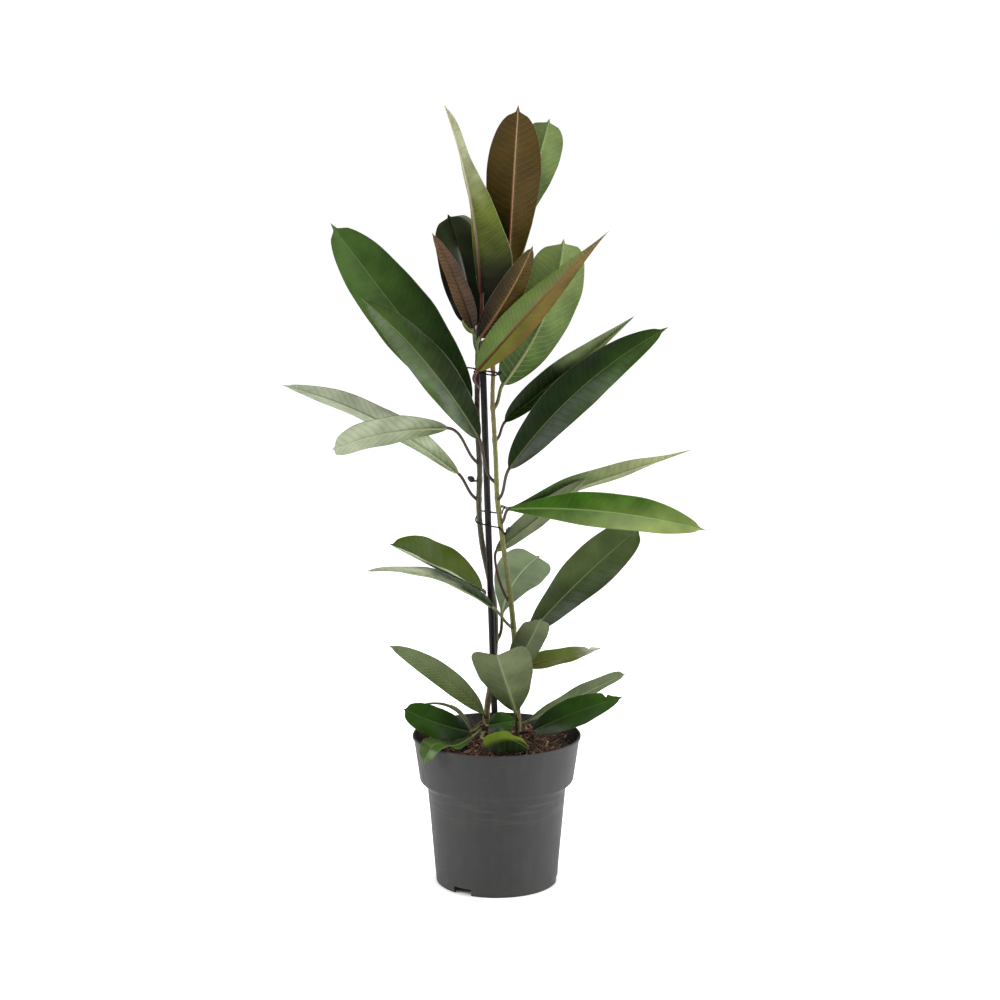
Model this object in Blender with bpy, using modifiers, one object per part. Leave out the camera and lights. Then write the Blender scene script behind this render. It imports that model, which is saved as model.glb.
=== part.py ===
"""Potted ficus: two leafy stems tied to a stake in a nursery pot, with each leaf a solid of its own."""

import math
from dataclasses import dataclass
from functools import lru_cache

import bmesh
import bpy
import numpy as np
from mathutils import Vector, noise

# Sizes are in millimetres, and MM turns them into the scene's metres
MM = 0.001

# Clearance between pieces, at a stalk's foot, and of a cutter past what it cuts
GAP = 0.3
FOOT_GAP = 0.4
CUTTER_MARGIN = 6.0

# Pot: a thin moulded nursery pot with a wide collar
POT_HEIGHT = 188.5
POT_RIM_RADIUS = 105.0
POT_WALL = 1.8
POT_FLOOR = 2.2
COLLAR_HEIGHT = 59.0
COLLAR_FOOT_RADIUS = 95.5
STEP_HEIGHT = 7.0
WALL_TOP_RADIUS = 86.5
WALL_FOOT_RADIUS = 76.0
FOOT_CHAMFER = 1.5
CHANNEL_HEIGHT = 9.0
CHANNEL_INNER_RADIUS = 45.0
CHANNEL_SLOPE = 5.0
CHANNEL_OUTER_RADIUS = 72.5
LIP_HEIGHT = 3.0
LIP_OUT = 0.8
LIP_ROUND = 0.7
POT_STEPS = 48

# Notches in the foot of the pot, each with a drain hole behind it in the raised channel
NOTCH_COUNT = 3
NOTCH_FIRST_ANGLE = -124.0
NOTCH_WIDTH = 25.0
NOTCH_HEIGHT = 8.5
NOTCH_INNER_RADIUS = 68.0
DRAIN_RADIUS = 5.0
DRAIN_PLACE_RADIUS = 60.0
DRAIN_SIDES = 12

# Soil
SOIL_TOP = 175.0
SOIL_MOUND = 3.0
SOIL_BUMP = 2.2
SOIL_STEPS = 36
SOIL_RINGS = 8
HOLE_DEPTH = 60.0
HOLE_SIDES = 20

# Stems, stake and ties
STEM_RINGS = 20
STAKE_RADIUS = 4.0
STAKE_BEVEL = 1.0
STAKE_FOOT = (-1.5, 16.0)
STAKE_TOP = (-17.0, 12.0, 654.0)
WIRE_RADIUS = 0.8
WIRE_STEPS = 72
WIRE_KEEP = 4

# Leaf colours: old leaves, young ones, leaves seen from their pale underside, and leaves in the light
LEAF_COLOURS = {
    "mature": (0.028, 0.085, 0.022),
    "young": (0.085, 0.06, 0.02),
    "pale": (0.2, 0.27, 0.13),
    "bright": (0.09, 0.19, 0.02),
    "dry": (0.14, 0.11, 0.05),
}

# Leaf blades
BLADE_THICKNESS = 0.8
EDGE_WAVE = 1.3
EDGE_WAVE_TURNS = 2.4
DRIP_TIP_WIDTH = 2.2
BLADE_RINGS = 9
SMALL_BLADE_RINGS = 6
SMALL_BLADE_LENGTH = 110.0
END_RING = 0.35
RING_TOP = (-1.0, -0.5, 0.0, 0.5, 1.0)
RING_SIDES = 12


@dataclass(frozen=True)
class Stem:
    """A woody shoot: centreline points from foot to tip, and its radius at both ends."""

    name: str
    points: tuple
    foot_radius: float
    top_radius: float


@dataclass(frozen=True)
class Leaf:
    """One leaf with its stalk, in millimetres and degrees.

    foot is the height where the stalk leaves the stem, base and tip are the ends of the blade,
    and up is roughly where the upper face looks. arch and sweep bow the midrib towards the upper
    face and the right edge, most at peak. fold lifts each half, and curl bends it on to the edge.
    drip is the share of the blade taken up by its narrow drip tip. leave is the way the stalk first
    goes, seen from above, where that isn't straight to the blade. stretch and settle widen the
    stalk's bends at the stem and at the blade, and tone names the leaf's colour.
    """

    name: str
    stem: str
    foot: float
    base: tuple
    tip: tuple
    up: tuple
    width: float
    arch: float = 0.0
    sweep: float = 0.0
    peak: float = 0.5
    fold: float = 16.0
    curl: float = -12.0
    round_base: float = 0.6
    round_tip: float = 0.7
    drip: float = 0.035
    leave: tuple = ()
    stretch: float = 1.0
    settle: float = 1.0
    tone: str = "mature"


LEFT_STEM = Stem(
    "stem_left",
    (
        (-14, 26, 115), (-14, 26, 178), (-12, 26, 215), (-6, 25, 255), (-2, 25, 300), (-3, 25, 345),
        (-10, 26, 385), (-18, 26, 425), (-22, 25, 470), (-21, 23, 520), (-23, 20, 560), (-24, 19, 607),
        (-23, 20, 650), (-22, 17, 698),
    ),
    4.2,
    3.0,
)
RIGHT_STEM = Stem(
    "stem_right",
    (
        (27, 20, 115), (27, 20, 178), (26, 19, 222), (24, 17, 270), (21, 14, 321), (15, 8, 377),
        (8, 3, 428), (4, 1, 460), (1, -1, 485), (-1, -3, 535), (-3, -4, 572), (-5, -4, 609), (-4, -3, 645),
    ),
    4.0,
    2.6,
)
STEMS = {"left": LEFT_STEM, "right": RIGHT_STEM}

LEAVES = (
    # The crown of the left stem
    Leaf("leaf_01", "left", 690, (-18, -4, 740), (-62, -45, 966), (1, 1, 0), 80, arch=13, fold=42,
         round_base=0.45, round_tip=2.1, drip=0, tone="pale"),
    Leaf("leaf_02", "left", 684, (11, 22, 729), (26, -5, 965), (0, 1, 0.3), 68, round_base=1.2,
         round_tip=0.6, tone="young"),
    Leaf("leaf_03", "left", 674, (24, 44, 800), (64, 28, 948), (-0.2, 1, 0.2), 56, round_tip=0.45,
         tone="pale"),
    Leaf("leaf_04", "left", 660, (13, 58, 722), (46, 60, 829), (-1, -0.4, 0), 30, fold=45, tone="young"),
    Leaf("leaf_05", "left", 668, (-28, 27, 697), (-60, 50, 832), (0.3, -1, 0.5), 68, round_tip=0.35),
    Leaf("leaf_06", "left", 672, (-30, -5, 697), (-77, -50, 816), (0.5, 1, 0.3), 27, sweep=-5,
         tone="young"),
    Leaf("leaf_07", "left", 652, (-20, -8, 686), (43, -75, 802), (0.2, 1, 0.4), 38, sweep=-4, fold=35,
         tone="young"),
    Leaf("leaf_08", "left", 622, (-23, -27, 648), (133, -93, 822), (0, 1, 0.1), 52, sweep=2, fold=45,
         round_tip=1.1, drip=0, tone="bright"),
    # The crown of the right stem
    Leaf("leaf_09", "right", 600, (8, 5, 628), (80, -40, 808), (-0.3, 1, 0.3), 80, sweep=-15,
         round_base=0.55, round_tip=0.35, tone="bright"),
    # Large leaves of the middle
    Leaf("leaf_10", "left", 572, (-33, 14, 604), (-202, 20, 823), (0.5, -1, 0.3), 84, sweep=-2,
         round_tip=0.55),
    Leaf("leaf_11", "right", 508, (-22, 0, 562), (-163, -45, 738), (0.5, -1, 0.3), 50, sweep=11),
    Leaf("leaf_12", "left", 482, (-48, 20, 515), (-265, 5, 627), (0.25, 0.6, 1), 52, arch=18, tone="pale"),
    Leaf("leaf_13", "left", 528, (-61, -5, 575), (-199, -60, 556), (0, 1, 0.6), 46, arch=12,
         round_tip=0.35, tone="pale"),
    Leaf("leaf_14", "right", 560, (11, 3, 582), (170, 38, 708), (0, -1, 0.6), 42, fold=50),
    Leaf("leaf_15", "right", 487, (16, -18, 528), (206, -45, 703), (-0.3, -1, 0.5), 56, sweep=-16),
    Leaf("leaf_16", "right", 474, (19, 30, 470), (244, 50, 540), (0, 0.6, 1), 44, fold=20,
         round_base=1.2, round_tip=0.8, tone="pale"),
    Leaf("leaf_17", "right", 457, (16, -8, 475), (256, -40, 454), (0, -1, 0.9), 52, arch=18,
         round_base=0.9, round_tip=0.5, tone="bright"),
    Leaf("leaf_18", "right", 357, (0, 13, 419), (112, 29, 507), (0, 1, 0.6), 32, fold=20,
         leave=(-1, -0.3), stretch=0.45, settle=0.45),
    # Leaves of the lower middle
    Leaf("leaf_19", "left", 303, (7, 32, 337), (56, 140, 388), (0, -1, 0.9), 66, sweep=-9,
         round_base=1.1, round_tip=0.4, tone="pale"),
    Leaf("leaf_20", "right", 285, (34, 0, 309), (180, 15, 450), (-0.5, -1, 0.5), 62, sweep=-5,
         round_base=0.9, round_tip=0.45),
    Leaf("leaf_21", "left", 352, (-18, 0, 372), (-131, -40, 438), (0.4, -0.4, 1), 68, fold=40,
         round_tip=0.6, leave=(-1, 0.15), stretch=1.8, tone="bright"),
    Leaf("leaf_22", "right", 322, (-6, -8, 353), (-165, -30, 401), (0.2, 0.35, 1), 46, arch=17,
         round_base=0.5, tone="pale"),
    Leaf("leaf_23", "right", 246, (17, -10, 262), (54, -65, 351), (0, 1, 0.6), 38, round_tip=0.3),
    Leaf("leaf_24", "right", 203, (23, 5, 216), (0, -95, 314), (0, 1, 0.6), 80, fold=32, round_tip=0.25),
    Leaf("leaf_25", "right", 248, (34, 14, 272), (131, -5, 300), (0, 1, 0.8), 34, round_base=0.5,
         round_tip=0.9, tone="bright"),
    # Old leaves round the foot
    Leaf("leaf_26", "left", 203, (-18, 14, 213), (-135, 0, 302), (0, -1, 0.3), 28, sweep=8),
    Leaf("leaf_27", "left", 193, (-34, 5, 190), (-116, -20, 226), (0, -1, 0.5), 38, sweep=-3, round_tip=0.45),
    Leaf("leaf_28", "left", 188, (-30, -10, 188), (-90, -82, 167), (0, -0.4, 1), 31, arch=25, peak=0.8,
         round_base=0.9, round_tip=0.5, tone="bright"),
    Leaf("leaf_29", "left", 197, (-32, 20, 190), (-97, 42, 214), (0, 0.3, 1), 24),
    Leaf("leaf_30", "left", 193, (-10, 8, 197), (24, -1, 206), (0, -1, 0.5), 28),
    Leaf("leaf_31", "left", 183, (-15, -45, 195), (40, -68, 187), (0, -0.45, 1), 46, arch=6, settle=0.5,
         tone="bright"),
    Leaf("leaf_32", "right", 195, (41, 25, 199), (163, 10, 264), (-0.2, -0.35, 1), 34, fold=20,
         tone="pale"),
    Leaf("leaf_33", "right", 184, (46, 5, 191), (156, -25, 242), (0, -1, 0.6), 38, sweep=-3),
    # Small sheaths at the nodes
    Leaf("sheath_crown", "left", 682, (-29, 8, 690), (-42, 4, 706), (0, 1, 0.3), 9, fold=25, drip=0,
         tone="dry"),
    Leaf("sheath_side", "left", 505, (-28, 18, 506), (-36, 15, 511), (0, -1, 0.3), 7, fold=25, drip=0,
         tone="dry"),
)


def unit(vector):
    """The vector at length 1."""
    vector = np.asarray(vector, float)
    return vector / np.linalg.norm(vector)


def smooth_centre(stem, height):
    """The centre of the stem at this height, on a smooth curve through its points."""
    points = np.array(stem.points, float)
    heights = points[:, 2]
    slopes = np.gradient(points[:, :2], heights, axis=0)
    k = int(np.clip(np.searchsorted(heights, height) - 1, 0, len(heights) - 2))
    span = heights[k + 1] - heights[k]
    t = (height - heights[k]) / span
    near, far = points[k, :2], points[k + 1, :2]
    bend = (
        near * (2 * t**3 - 3 * t**2 + 1)
        + far * (3 * t**2 - 2 * t**3)
        + slopes[k] * span * (t**3 - 2 * t**2 + t)
        + slopes[k + 1] * span * (t**3 - t**2)
    )
    return [*bend, height]


@lru_cache
def stem_rings(stem):
    """The middles of the rings that the stem is made of, from its foot up."""
    heights = np.linspace(stem.points[0][2], stem.points[-1][2], STEM_RINGS)
    return np.array([smooth_centre(stem, height) for height in heights])


def stem_centre(stem, height):
    """The centre of the stem at this height, between its rings."""
    x, y, z = stem_rings(stem).T
    return np.array([np.interp(height, z, x), np.interp(height, z, y), height])


def stem_radius(stem, height):
    """The stem's radius at this height: it tapers evenly."""
    low, high = stem.points[0][2], stem.points[-1][2]
    t = np.clip((height - low) / (high - low), 0, 1)
    return stem.foot_radius + (stem.top_radius - stem.foot_radius) * t


def stem_direction(stem, height):
    """The way the stem runs at this height."""
    step = 2.0
    return unit(stem_centre(stem, height + step) - stem_centre(stem, height - step))


def bow(leaf, s):
    """How far along its bow the midrib is: 0 at both ends and 1 at the peak."""
    power = leaf.peak / (1 - leaf.peak)
    return (s / leaf.peak) ** power * (1 - s) / (1 - leaf.peak)


def half_width(leaf, s):
    """Half the blade's width at s: an oval, and past it the drip tip."""
    p, q = leaf.round_base, leaf.round_tip
    widest = p / (p + q)
    along = min(s / (1 - leaf.drip), 1.0)
    oval = leaf.width / 2 * (along / widest) ** p * ((1 - along) / (1 - widest)) ** q
    tip = DRIP_TIP_WIDTH * min((1 - s) / leaf.drip, 1.0) if leaf.drip and s > widest else 0.0
    return max(oval, tip)


def midrib(leaf, s):
    """The point of the midrib at s = 0 to 1."""
    base, chord = np.array(leaf.base, float), np.subtract(leaf.tip, leaf.base)
    ahead = unit(chord)
    up = unit(leaf.up - np.dot(leaf.up, ahead) * ahead)
    right = np.cross(ahead, up)
    return base + chord * s + (up * leaf.arch + right * leaf.sweep) * bow(leaf, s)


def midrib_frame(leaf, s):
    """(centre, ahead, up, right) on the midrib at s = 0 to 1."""
    step = 0.002
    low, high = max(s - step, 0.0), min(s + step, 1.0)
    ahead = unit(midrib(leaf, high) - midrib(leaf, low))
    chord = unit(np.subtract(leaf.tip, leaf.base))
    up = unit(leaf.up - np.dot(leaf.up, chord) * chord)
    up = unit(up - np.dot(up, ahead) * ahead)
    return midrib(leaf, s), ahead, up, np.cross(ahead, up)


def edge_wave(leaf, s, u):
    """How far the blade's edge rises and falls along its length, out of step on its two edges."""
    phase = leaf.foot + leaf.tip[0] + (1.9 if u > 0 else 0.0)
    swell = math.sin(math.pi * s) * min(leaf.width / 50, 1.0)
    return EDGE_WAVE * swell * abs(u) ** 2 * math.sin(2 * math.pi * EDGE_WAVE_TURNS * s + phase)


def stalk_radius(leaf):
    """The stalk is thicker under a wider blade."""
    return 1.2 + leaf.width / 80


def blade_ring(leaf, s):
    """The blade's outline across the midrib at s: 5 points above, 7 below, with a rib under the middle."""
    centre, _, up, right = midrib_frame(leaf, s)
    stalk = stalk_radius(leaf)
    width = max(half_width(leaf, s), stalk * (1 - s) + 0.6)
    fold, curl = math.radians(leaf.fold), math.radians(leaf.curl)
    half = BLADE_THICKNESS / 2
    rib_half = min((0.9 - 0.7 * s) * stalk, 0.4 * width)
    rib_depth = (1.7 - 1.4 * s) * stalk

    def point(u, lift):
        slope = fold + curl * abs(u)
        halfway = fold + curl * abs(u) / 2
        out = width * abs(u) * math.cos(halfway)
        rise = width * abs(u) * math.sin(halfway) + edge_wave(leaf, s, u)
        lean = -math.sin(slope) if u else 0.0
        stand = math.cos(slope) if u else 1.0
        side = math.copysign(1.0, u)
        return centre + right * side * (out + lean * lift) + up * (rise + stand * lift)

    above = [point(u, half) for u in RING_TOP]
    below = [
        point(1.0, -half),
        point(0.5, -half),
        point(rib_half / width, -half),
        centre - up * (half + rib_depth),
        point(-rib_half / width, -half),
        point(-0.5, -half),
        point(-1.0, -half),
    ]
    return np.array(above + below)


def round_ring(centre, up, right, radius):
    """A circle whose points match those of a blade ring, from the left edge over the top."""
    angles = np.radians(150 - 30 * np.arange(RING_SIDES))
    return centre + radius * (np.outer(np.cos(angles), right) + np.outer(np.sin(angles), up))


def slide_to_stem(points, direction, stem, height):
    """Points moved along direction until each lies FOOT_GAP outside the stem's bark."""
    axis = stem_direction(stem, height)
    reach = stem_radius(stem, height) + FOOT_GAP
    offset = points - stem_centre(stem, height)
    flat = offset - np.outer(offset @ axis, axis)
    slope = direction - np.dot(direction, axis) * axis
    a = slope @ slope
    b = flat @ slope
    c = np.einsum("ij,ij->i", flat, flat) - reach**2
    travel = (-b + np.sqrt(np.maximum(b**2 - a * c, 0))) / a
    return points + np.outer(travel, direction)


def stalk_rings(leaf):
    """The rings of the stalk, and the middle of its foot, which is scribed to the stem."""
    stem = STEMS[leaf.stem]
    radius = stalk_radius(leaf)
    base, ahead, up, _ = midrib_frame(leaf, 0.0)
    centre = stem_centre(stem, leaf.foot)
    outward = unit([*(leaf.leave or (base - centre)[:2]), 0])
    start = centre + outward * (stem_radius(stem, leaf.foot) + FOOT_GAP)
    leave = unit(outward * 0.85 + np.array([0, 0, 0.5]))
    third = np.linalg.norm(base - start) / 3
    knots = [start, start + leave * third * leaf.stretch, base - ahead * third * leaf.settle, base]

    def path(t):
        weights = ((1 - t) ** 3, 3 * t * (1 - t) ** 2, 3 * t**2 * (1 - t), t**3)
        return sum(w * k for w, k in zip(weights, knots))

    def ring(t, side):
        along = unit(path(min(t + 0.01, 1.0)) - path(max(t - 0.01, 0.0)))
        right = unit(side - np.dot(side, along) * along)
        return round_ring(path(t), np.cross(right, along), right, radius)

    side = np.cross(ahead, up)
    foot = slide_to_stem(ring(0.0, side), leave, stem, leaf.foot)
    middle = slide_to_stem(start[None, :], leave, stem, leaf.foot)[0]
    return [foot] + [ring(t, side) for t in (0.3, 0.62, 0.9)], middle


def blade_stations(leaf):
    """Where the blade's rings are: closest at both ends of the oval, with two more on a drip tip."""
    length = np.linalg.norm(np.subtract(leaf.tip, leaf.base))
    count = BLADE_RINGS if length > SMALL_BLADE_LENGTH else SMALL_BLADE_RINGS
    steps = [END_RING, *range(1, count), count - END_RING]
    oval = [(0.5 - 0.5 * math.cos(math.pi * k / count)) * (1 - leaf.drip) for k in steps]
    return oval + [1 - leaf.drip * 0.5, 1 - leaf.drip * 0.05] if leaf.drip else oval


def loft_faces(ring_count, foot_point, tip_point):
    """Triangles over the rings, split alike above and below, with a fan over each end."""
    faces = []
    for i in range(ring_count - 1):
        for j in range(RING_SIDES):
            k = (j + 1) % RING_SIDES
            a, b = i * RING_SIDES + j, i * RING_SIDES + k
            c, d = a + RING_SIDES, b + RING_SIDES
            above = j < len(RING_TOP)
            faces += [(a, c, d), (a, d, b)] if above else [(a, c, b), (b, c, d)]
    last = (ring_count - 1) * RING_SIDES
    for j in range(RING_SIDES):
        k = (j + 1) % RING_SIDES
        faces.append((j, k, foot_point))
        faces.append((last + k, last + j, tip_point))
    return faces


def make_material(name, colour, roughness):
    """A plain material of this colour."""
    material = bpy.data.materials.new(name)
    material.use_nodes = True
    shader = material.node_tree.nodes["Principled BSDF"]
    shader.inputs["Base Color"].default_value = (*colour, 1)
    shader.inputs["Roughness"].default_value = roughness
    shader.inputs["Metallic"].default_value = 0.0
    return material


def add_mesh(name, mesh, material, collection):
    """The mesh as an object of the collection, with its material."""
    part = bpy.data.objects.new(name, mesh)
    collection.objects.link(part)
    mesh.materials.clear()
    mesh.materials.append(material)
    return part


def make_leaf(leaf, material, collection):
    """The leaf as one solid: its stalk's rings, then its blade's."""
    rings, middle = stalk_rings(leaf)
    rings += [blade_ring(leaf, s) for s in blade_stations(leaf)]
    count = len(rings)
    tip = rings[-1].mean(axis=0)
    points = np.vstack([*rings, middle, tip]) * MM
    faces = loft_faces(count, count * RING_SIDES, count * RING_SIDES + 1)
    mesh = bpy.data.meshes.new(leaf.name)
    mesh.from_pydata(points.tolist(), [], faces)
    solid = bmesh.new()
    solid.from_mesh(mesh)
    bmesh.ops.recalc_face_normals(solid, faces=solid.faces)
    solid.to_mesh(mesh)
    solid.free()
    mesh.shade_smooth()
    mesh.set_sharp_from_angle(angle=math.radians(50))
    return add_mesh(leaf.name, mesh, material, collection)


def make_tube(name, points, radii, material, collection, resolution=4):
    """A tube along points, in millimetres, with a radius at each."""
    curve = bpy.data.curves.new(name, "CURVE")
    curve.dimensions = "3D"
    curve.bevel_depth = MM
    curve.bevel_resolution = resolution
    curve.use_fill_caps = True
    spline = curve.splines.new("POLY")
    spline.points.add(len(points) - 1)
    for knot, point, radius in zip(spline.points, points, radii):
        knot.co = (*(np.asarray(point) * MM), 1)
        knot.radius = radius
    part = bpy.data.objects.new(name, curve)
    collection.objects.link(part)
    curve.materials.append(material)
    return part


def make_stem(stem, material, collection):
    """The stem, with a blunt tip a little past its last ring."""
    points = stem_rings(stem)
    radii = [stem_radius(stem, height) for height in points[:, 2]]
    tip = points[-1] + stem_direction(stem, points[-1][2] - 3) * 3.0
    return make_tube(stem.name, [*points, tip], [*radii, stem.top_radius * 0.45], material, collection)


def stake_centre(height):
    """The stake's centre at this height. It leans above the soil only."""
    foot = np.array([*STAKE_FOOT, SOIL_TOP])
    top = np.array(STAKE_TOP)
    t = max((height - SOIL_TOP) / (top[2] - SOIL_TOP), 0.0)
    return np.array([*(foot + (top - foot) * t)[:2], height])


def make_stake(material, collection):
    """The stake, upright in its hole, with a bevelled top."""
    heights = [SOIL_TOP - HOLE_DEPTH, SOIL_TOP, STAKE_TOP[2] - STAKE_BEVEL, STAKE_TOP[2]]
    radii = [STAKE_RADIUS, STAKE_RADIUS, STAKE_RADIUS, STAKE_RADIUS - STAKE_BEVEL]
    return make_tube("stake", [stake_centre(z) for z in heights], radii, material, collection)


def wrap_point(angle, height):
    """Which post holds the wire at this angle from their middle, and where the wire then is."""
    way = np.array([math.cos(angle), math.sin(angle)])
    posts = [(stem_centre(stem, height), stem_radius(stem, height)) for stem in STEMS.values()]
    posts.append((stake_centre(height), STAKE_RADIUS))
    reaches = [radius + GAP + WIRE_RADIUS for _, radius in posts]
    hold = max(range(len(posts)), key=lambda i: posts[i][0][:2] @ way + reaches[i])
    return hold, np.array([*(posts[hold][0][:2] + way * reaches[hold]), height])


def make_tie(name, top, drop, turns, start_angle, tails, material, collection):
    """A wire wound round the posts, dropping by drop a turn, with a bent tail at both ends."""
    places = []
    for k in range(int(turns * WIRE_STEPS) + 1):
        way = math.radians(start_angle) + 2 * math.pi * k / WIRE_STEPS
        places.append(wrap_point(way, top - drop * k / WIRE_STEPS))
    holds = [hold for hold, _ in places]
    bends = [k for k in range(1, len(places) - 1) if len(set(holds[k - 1 : k + 2])) > 1]
    kept = sorted({*range(0, len(places), WIRE_KEEP), *bends})
    points = [places[k][1] for k in kept]
    first, last = (np.array(tail, float) for tail in tails)
    points = [points[0] + first, points[0] + first * 0.5, *points, points[-1] + last * 0.5, points[-1] + last]
    return make_tube(name, points, [WIRE_RADIUS] * len(points), material, collection, resolution=1)


def turn(name, profile, steps, material, collection):
    """A profile in the XZ plane turned round Z. It runs down its outer side."""
    mesh = bpy.data.meshes.new(name)
    edges = [(i, i + 1) for i in range(len(profile) - 1)]
    mesh.from_pydata([(x * MM, 0, z * MM) for x, z in profile], edges, [])
    part = add_mesh(name, mesh, material, collection)
    screw = part.modifiers.new("turn", "SCREW")
    screw.steps = steps
    screw.render_steps = steps
    screw.use_merge_vertices = True
    screw.merge_threshold = 0.00001
    return part


def wall_radius(height, inset=0.0):
    """The pot's outer radius at this height, less inset."""
    collar_foot = POT_HEIGHT - COLLAR_HEIGHT
    heights = [0.0, collar_foot - STEP_HEIGHT, collar_foot, POT_HEIGHT]
    radii = [WALL_FOOT_RADIUS, WALL_TOP_RADIUS, COLLAR_FOOT_RADIUS, POT_RIM_RADIUS - LIP_OUT]
    return float(np.interp(height, heights, radii)) - inset


def floor_profile(lift):
    """The pot floor's profile from its middle outwards, lifted off its underside: flat, then the channel."""
    channel_top = CHANNEL_HEIGHT + lift
    return [
        (0, lift),
        (CHANNEL_INNER_RADIUS - lift / 2, lift),
        (CHANNEL_INNER_RADIUS + CHANNEL_SLOPE - lift / 2, channel_top),
        (wall_radius(channel_top, POT_WALL + lift), channel_top),
    ]


def make_pot(material, collection, cutters):
    """The pot's shell, turned in one profile, with its notches and drains cut out."""
    collar_foot = POT_HEIGHT - COLLAR_HEIGHT
    step_foot = collar_foot - STEP_HEIGHT
    mouth_radius = POT_RIM_RADIUS - LIP_OUT - POT_WALL
    inner = floor_profile(POT_FLOOR)
    inner += [(wall_radius(z, POT_WALL), z) for z in (CHANNEL_HEIGHT + POT_FLOOR + 2, step_foot, collar_foot)]
    inner.append((mouth_radius, POT_HEIGHT - LIP_ROUND))
    rim = [(mouth_radius + LIP_ROUND, POT_HEIGHT), (POT_RIM_RADIUS - LIP_ROUND, POT_HEIGHT)]
    rim += [(POT_RIM_RADIUS, POT_HEIGHT - LIP_ROUND), (POT_RIM_RADIUS, POT_HEIGHT - LIP_HEIGHT)]
    rim.append((wall_radius(POT_HEIGHT - LIP_HEIGHT - 1), POT_HEIGHT - LIP_HEIGHT - 1))
    outer = [(wall_radius(z), z) for z in (collar_foot, step_foot, FOOT_CHAMFER)]
    outer += [(WALL_FOOT_RADIUS - FOOT_CHAMFER, 0), (CHANNEL_OUTER_RADIUS, 0)]
    outer += [(CHANNEL_OUTER_RADIUS, CHANNEL_HEIGHT), *floor_profile(0.0)[2::-1]]
    pot = turn("pot", inner + rim + outer, POT_STEPS, material, collection)
    for k in range(NOTCH_COUNT):
        angle = math.radians(NOTCH_FIRST_ANGLE + 360 * k / NOTCH_COUNT)
        add_notch(pot, f"notch_cutter_{k + 1}", angle, cutters)
        add_drain(pot, f"drain_cutter_{k + 1}", angle, cutters)
    return pot


def add_notch(pot, name, angle, cutters):
    """Cuts a notch into the pot's foot, open below, at this angle."""
    length = WALL_FOOT_RADIUS + CUTTER_MARGIN - NOTCH_INNER_RADIUS
    out = NOTCH_INNER_RADIUS + length / 2
    bpy.ops.mesh.primitive_cube_add(size=MM)
    cutter = bpy.context.object
    cutter.name = name
    cutter.scale = (length, NOTCH_WIDTH, NOTCH_HEIGHT * 2)
    cutter.location = (out * math.cos(angle) * MM, out * math.sin(angle) * MM, 0)
    cutter.rotation_euler.z = angle
    hide_cutter(cutter, cutters)
    cut_with(pot, cutter)


def add_drain(pot, name, angle, cutters):
    """Cuts a round hole through the top of the channel, at this angle."""
    depth = (POT_FLOOR + CUTTER_MARGIN) * MM
    bpy.ops.mesh.primitive_cylinder_add(vertices=DRAIN_SIDES, radius=DRAIN_RADIUS * MM, depth=depth)
    cutter = bpy.context.object
    cutter.name = name
    x, y = DRAIN_PLACE_RADIUS * math.cos(angle), DRAIN_PLACE_RADIUS * math.sin(angle)
    cutter.location = (x * MM, y * MM, (CHANNEL_HEIGHT + POT_FLOOR / 2) * MM)
    hide_cutter(cutter, cutters)
    cut_with(pot, cutter)


def hide_cutter(cutter, cutters):
    """Moves the cutter to the cutters' collection, where it isn't rendered."""
    for owner in list(cutter.users_collection):
        owner.objects.unlink(cutter)
    cutters.objects.link(cutter)
    cutter.hide_render = True
    cutter.display_type = "WIRE"


def cut_with(part, cutter):
    """Cuts the cutter's shape out of the part."""
    cut = part.modifiers.new(cutter.name, "BOOLEAN")
    cut.solver = "EXACT"
    cut.operation = "DIFFERENCE"
    cut.object = cutter


def soil_height(x, y):
    """The height of the soil at x, y: a low mound with lumps of bark."""
    radius = math.hypot(x, y)
    mound = SOIL_MOUND * (1 - (radius / POT_RIM_RADIUS) ** 2)
    lumps = noise.noise(Vector((x / 9, y / 9, 3.1))) + 0.6 * noise.noise(Vector((x / 4.5, y / 4.5, 7.7)))
    return SOIL_TOP + mound + SOIL_BUMP * lumps


def make_soil(material, collection, cutters):
    """The soil fills the pot, and the stems and the stake stand in holes in it."""
    collar_foot = POT_HEIGHT - COLLAR_HEIGHT
    levels = (SOIL_TOP, collar_foot, collar_foot - STEP_HEIGHT)
    outer = [(wall_radius(z, POT_WALL + 2 * GAP), z) for z in levels]
    top = [(radius, SOIL_TOP) for radius in np.linspace(0, outer[0][0], SOIL_RINGS)[:-1]]
    profile = top + outer + floor_profile(POT_FLOOR + GAP)[::-1]
    soil = turn("soil", profile, SOIL_STEPS, material, collection)
    bpy.context.view_layer.update()
    turned = soil.evaluated_get(bpy.context.evaluated_depsgraph_get())
    solid = bpy.data.meshes.new_from_object(turned)
    soil.modifiers.clear()
    soil.data = solid
    for vertex in solid.vertices:
        if vertex.co.z > (SOIL_TOP - GAP) * MM:
            vertex.co.z = soil_height(vertex.co.x / MM, vertex.co.y / MM) * MM
    add_hole(soil, "hole_cutter_left", LEFT_STEM.points[0], LEFT_STEM.foot_radius, cutters)
    add_hole(soil, "hole_cutter_right", RIGHT_STEM.points[0], RIGHT_STEM.foot_radius, cutters)
    add_hole(soil, "hole_cutter_stake", STAKE_FOOT, STAKE_RADIUS, cutters)
    return soil


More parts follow.
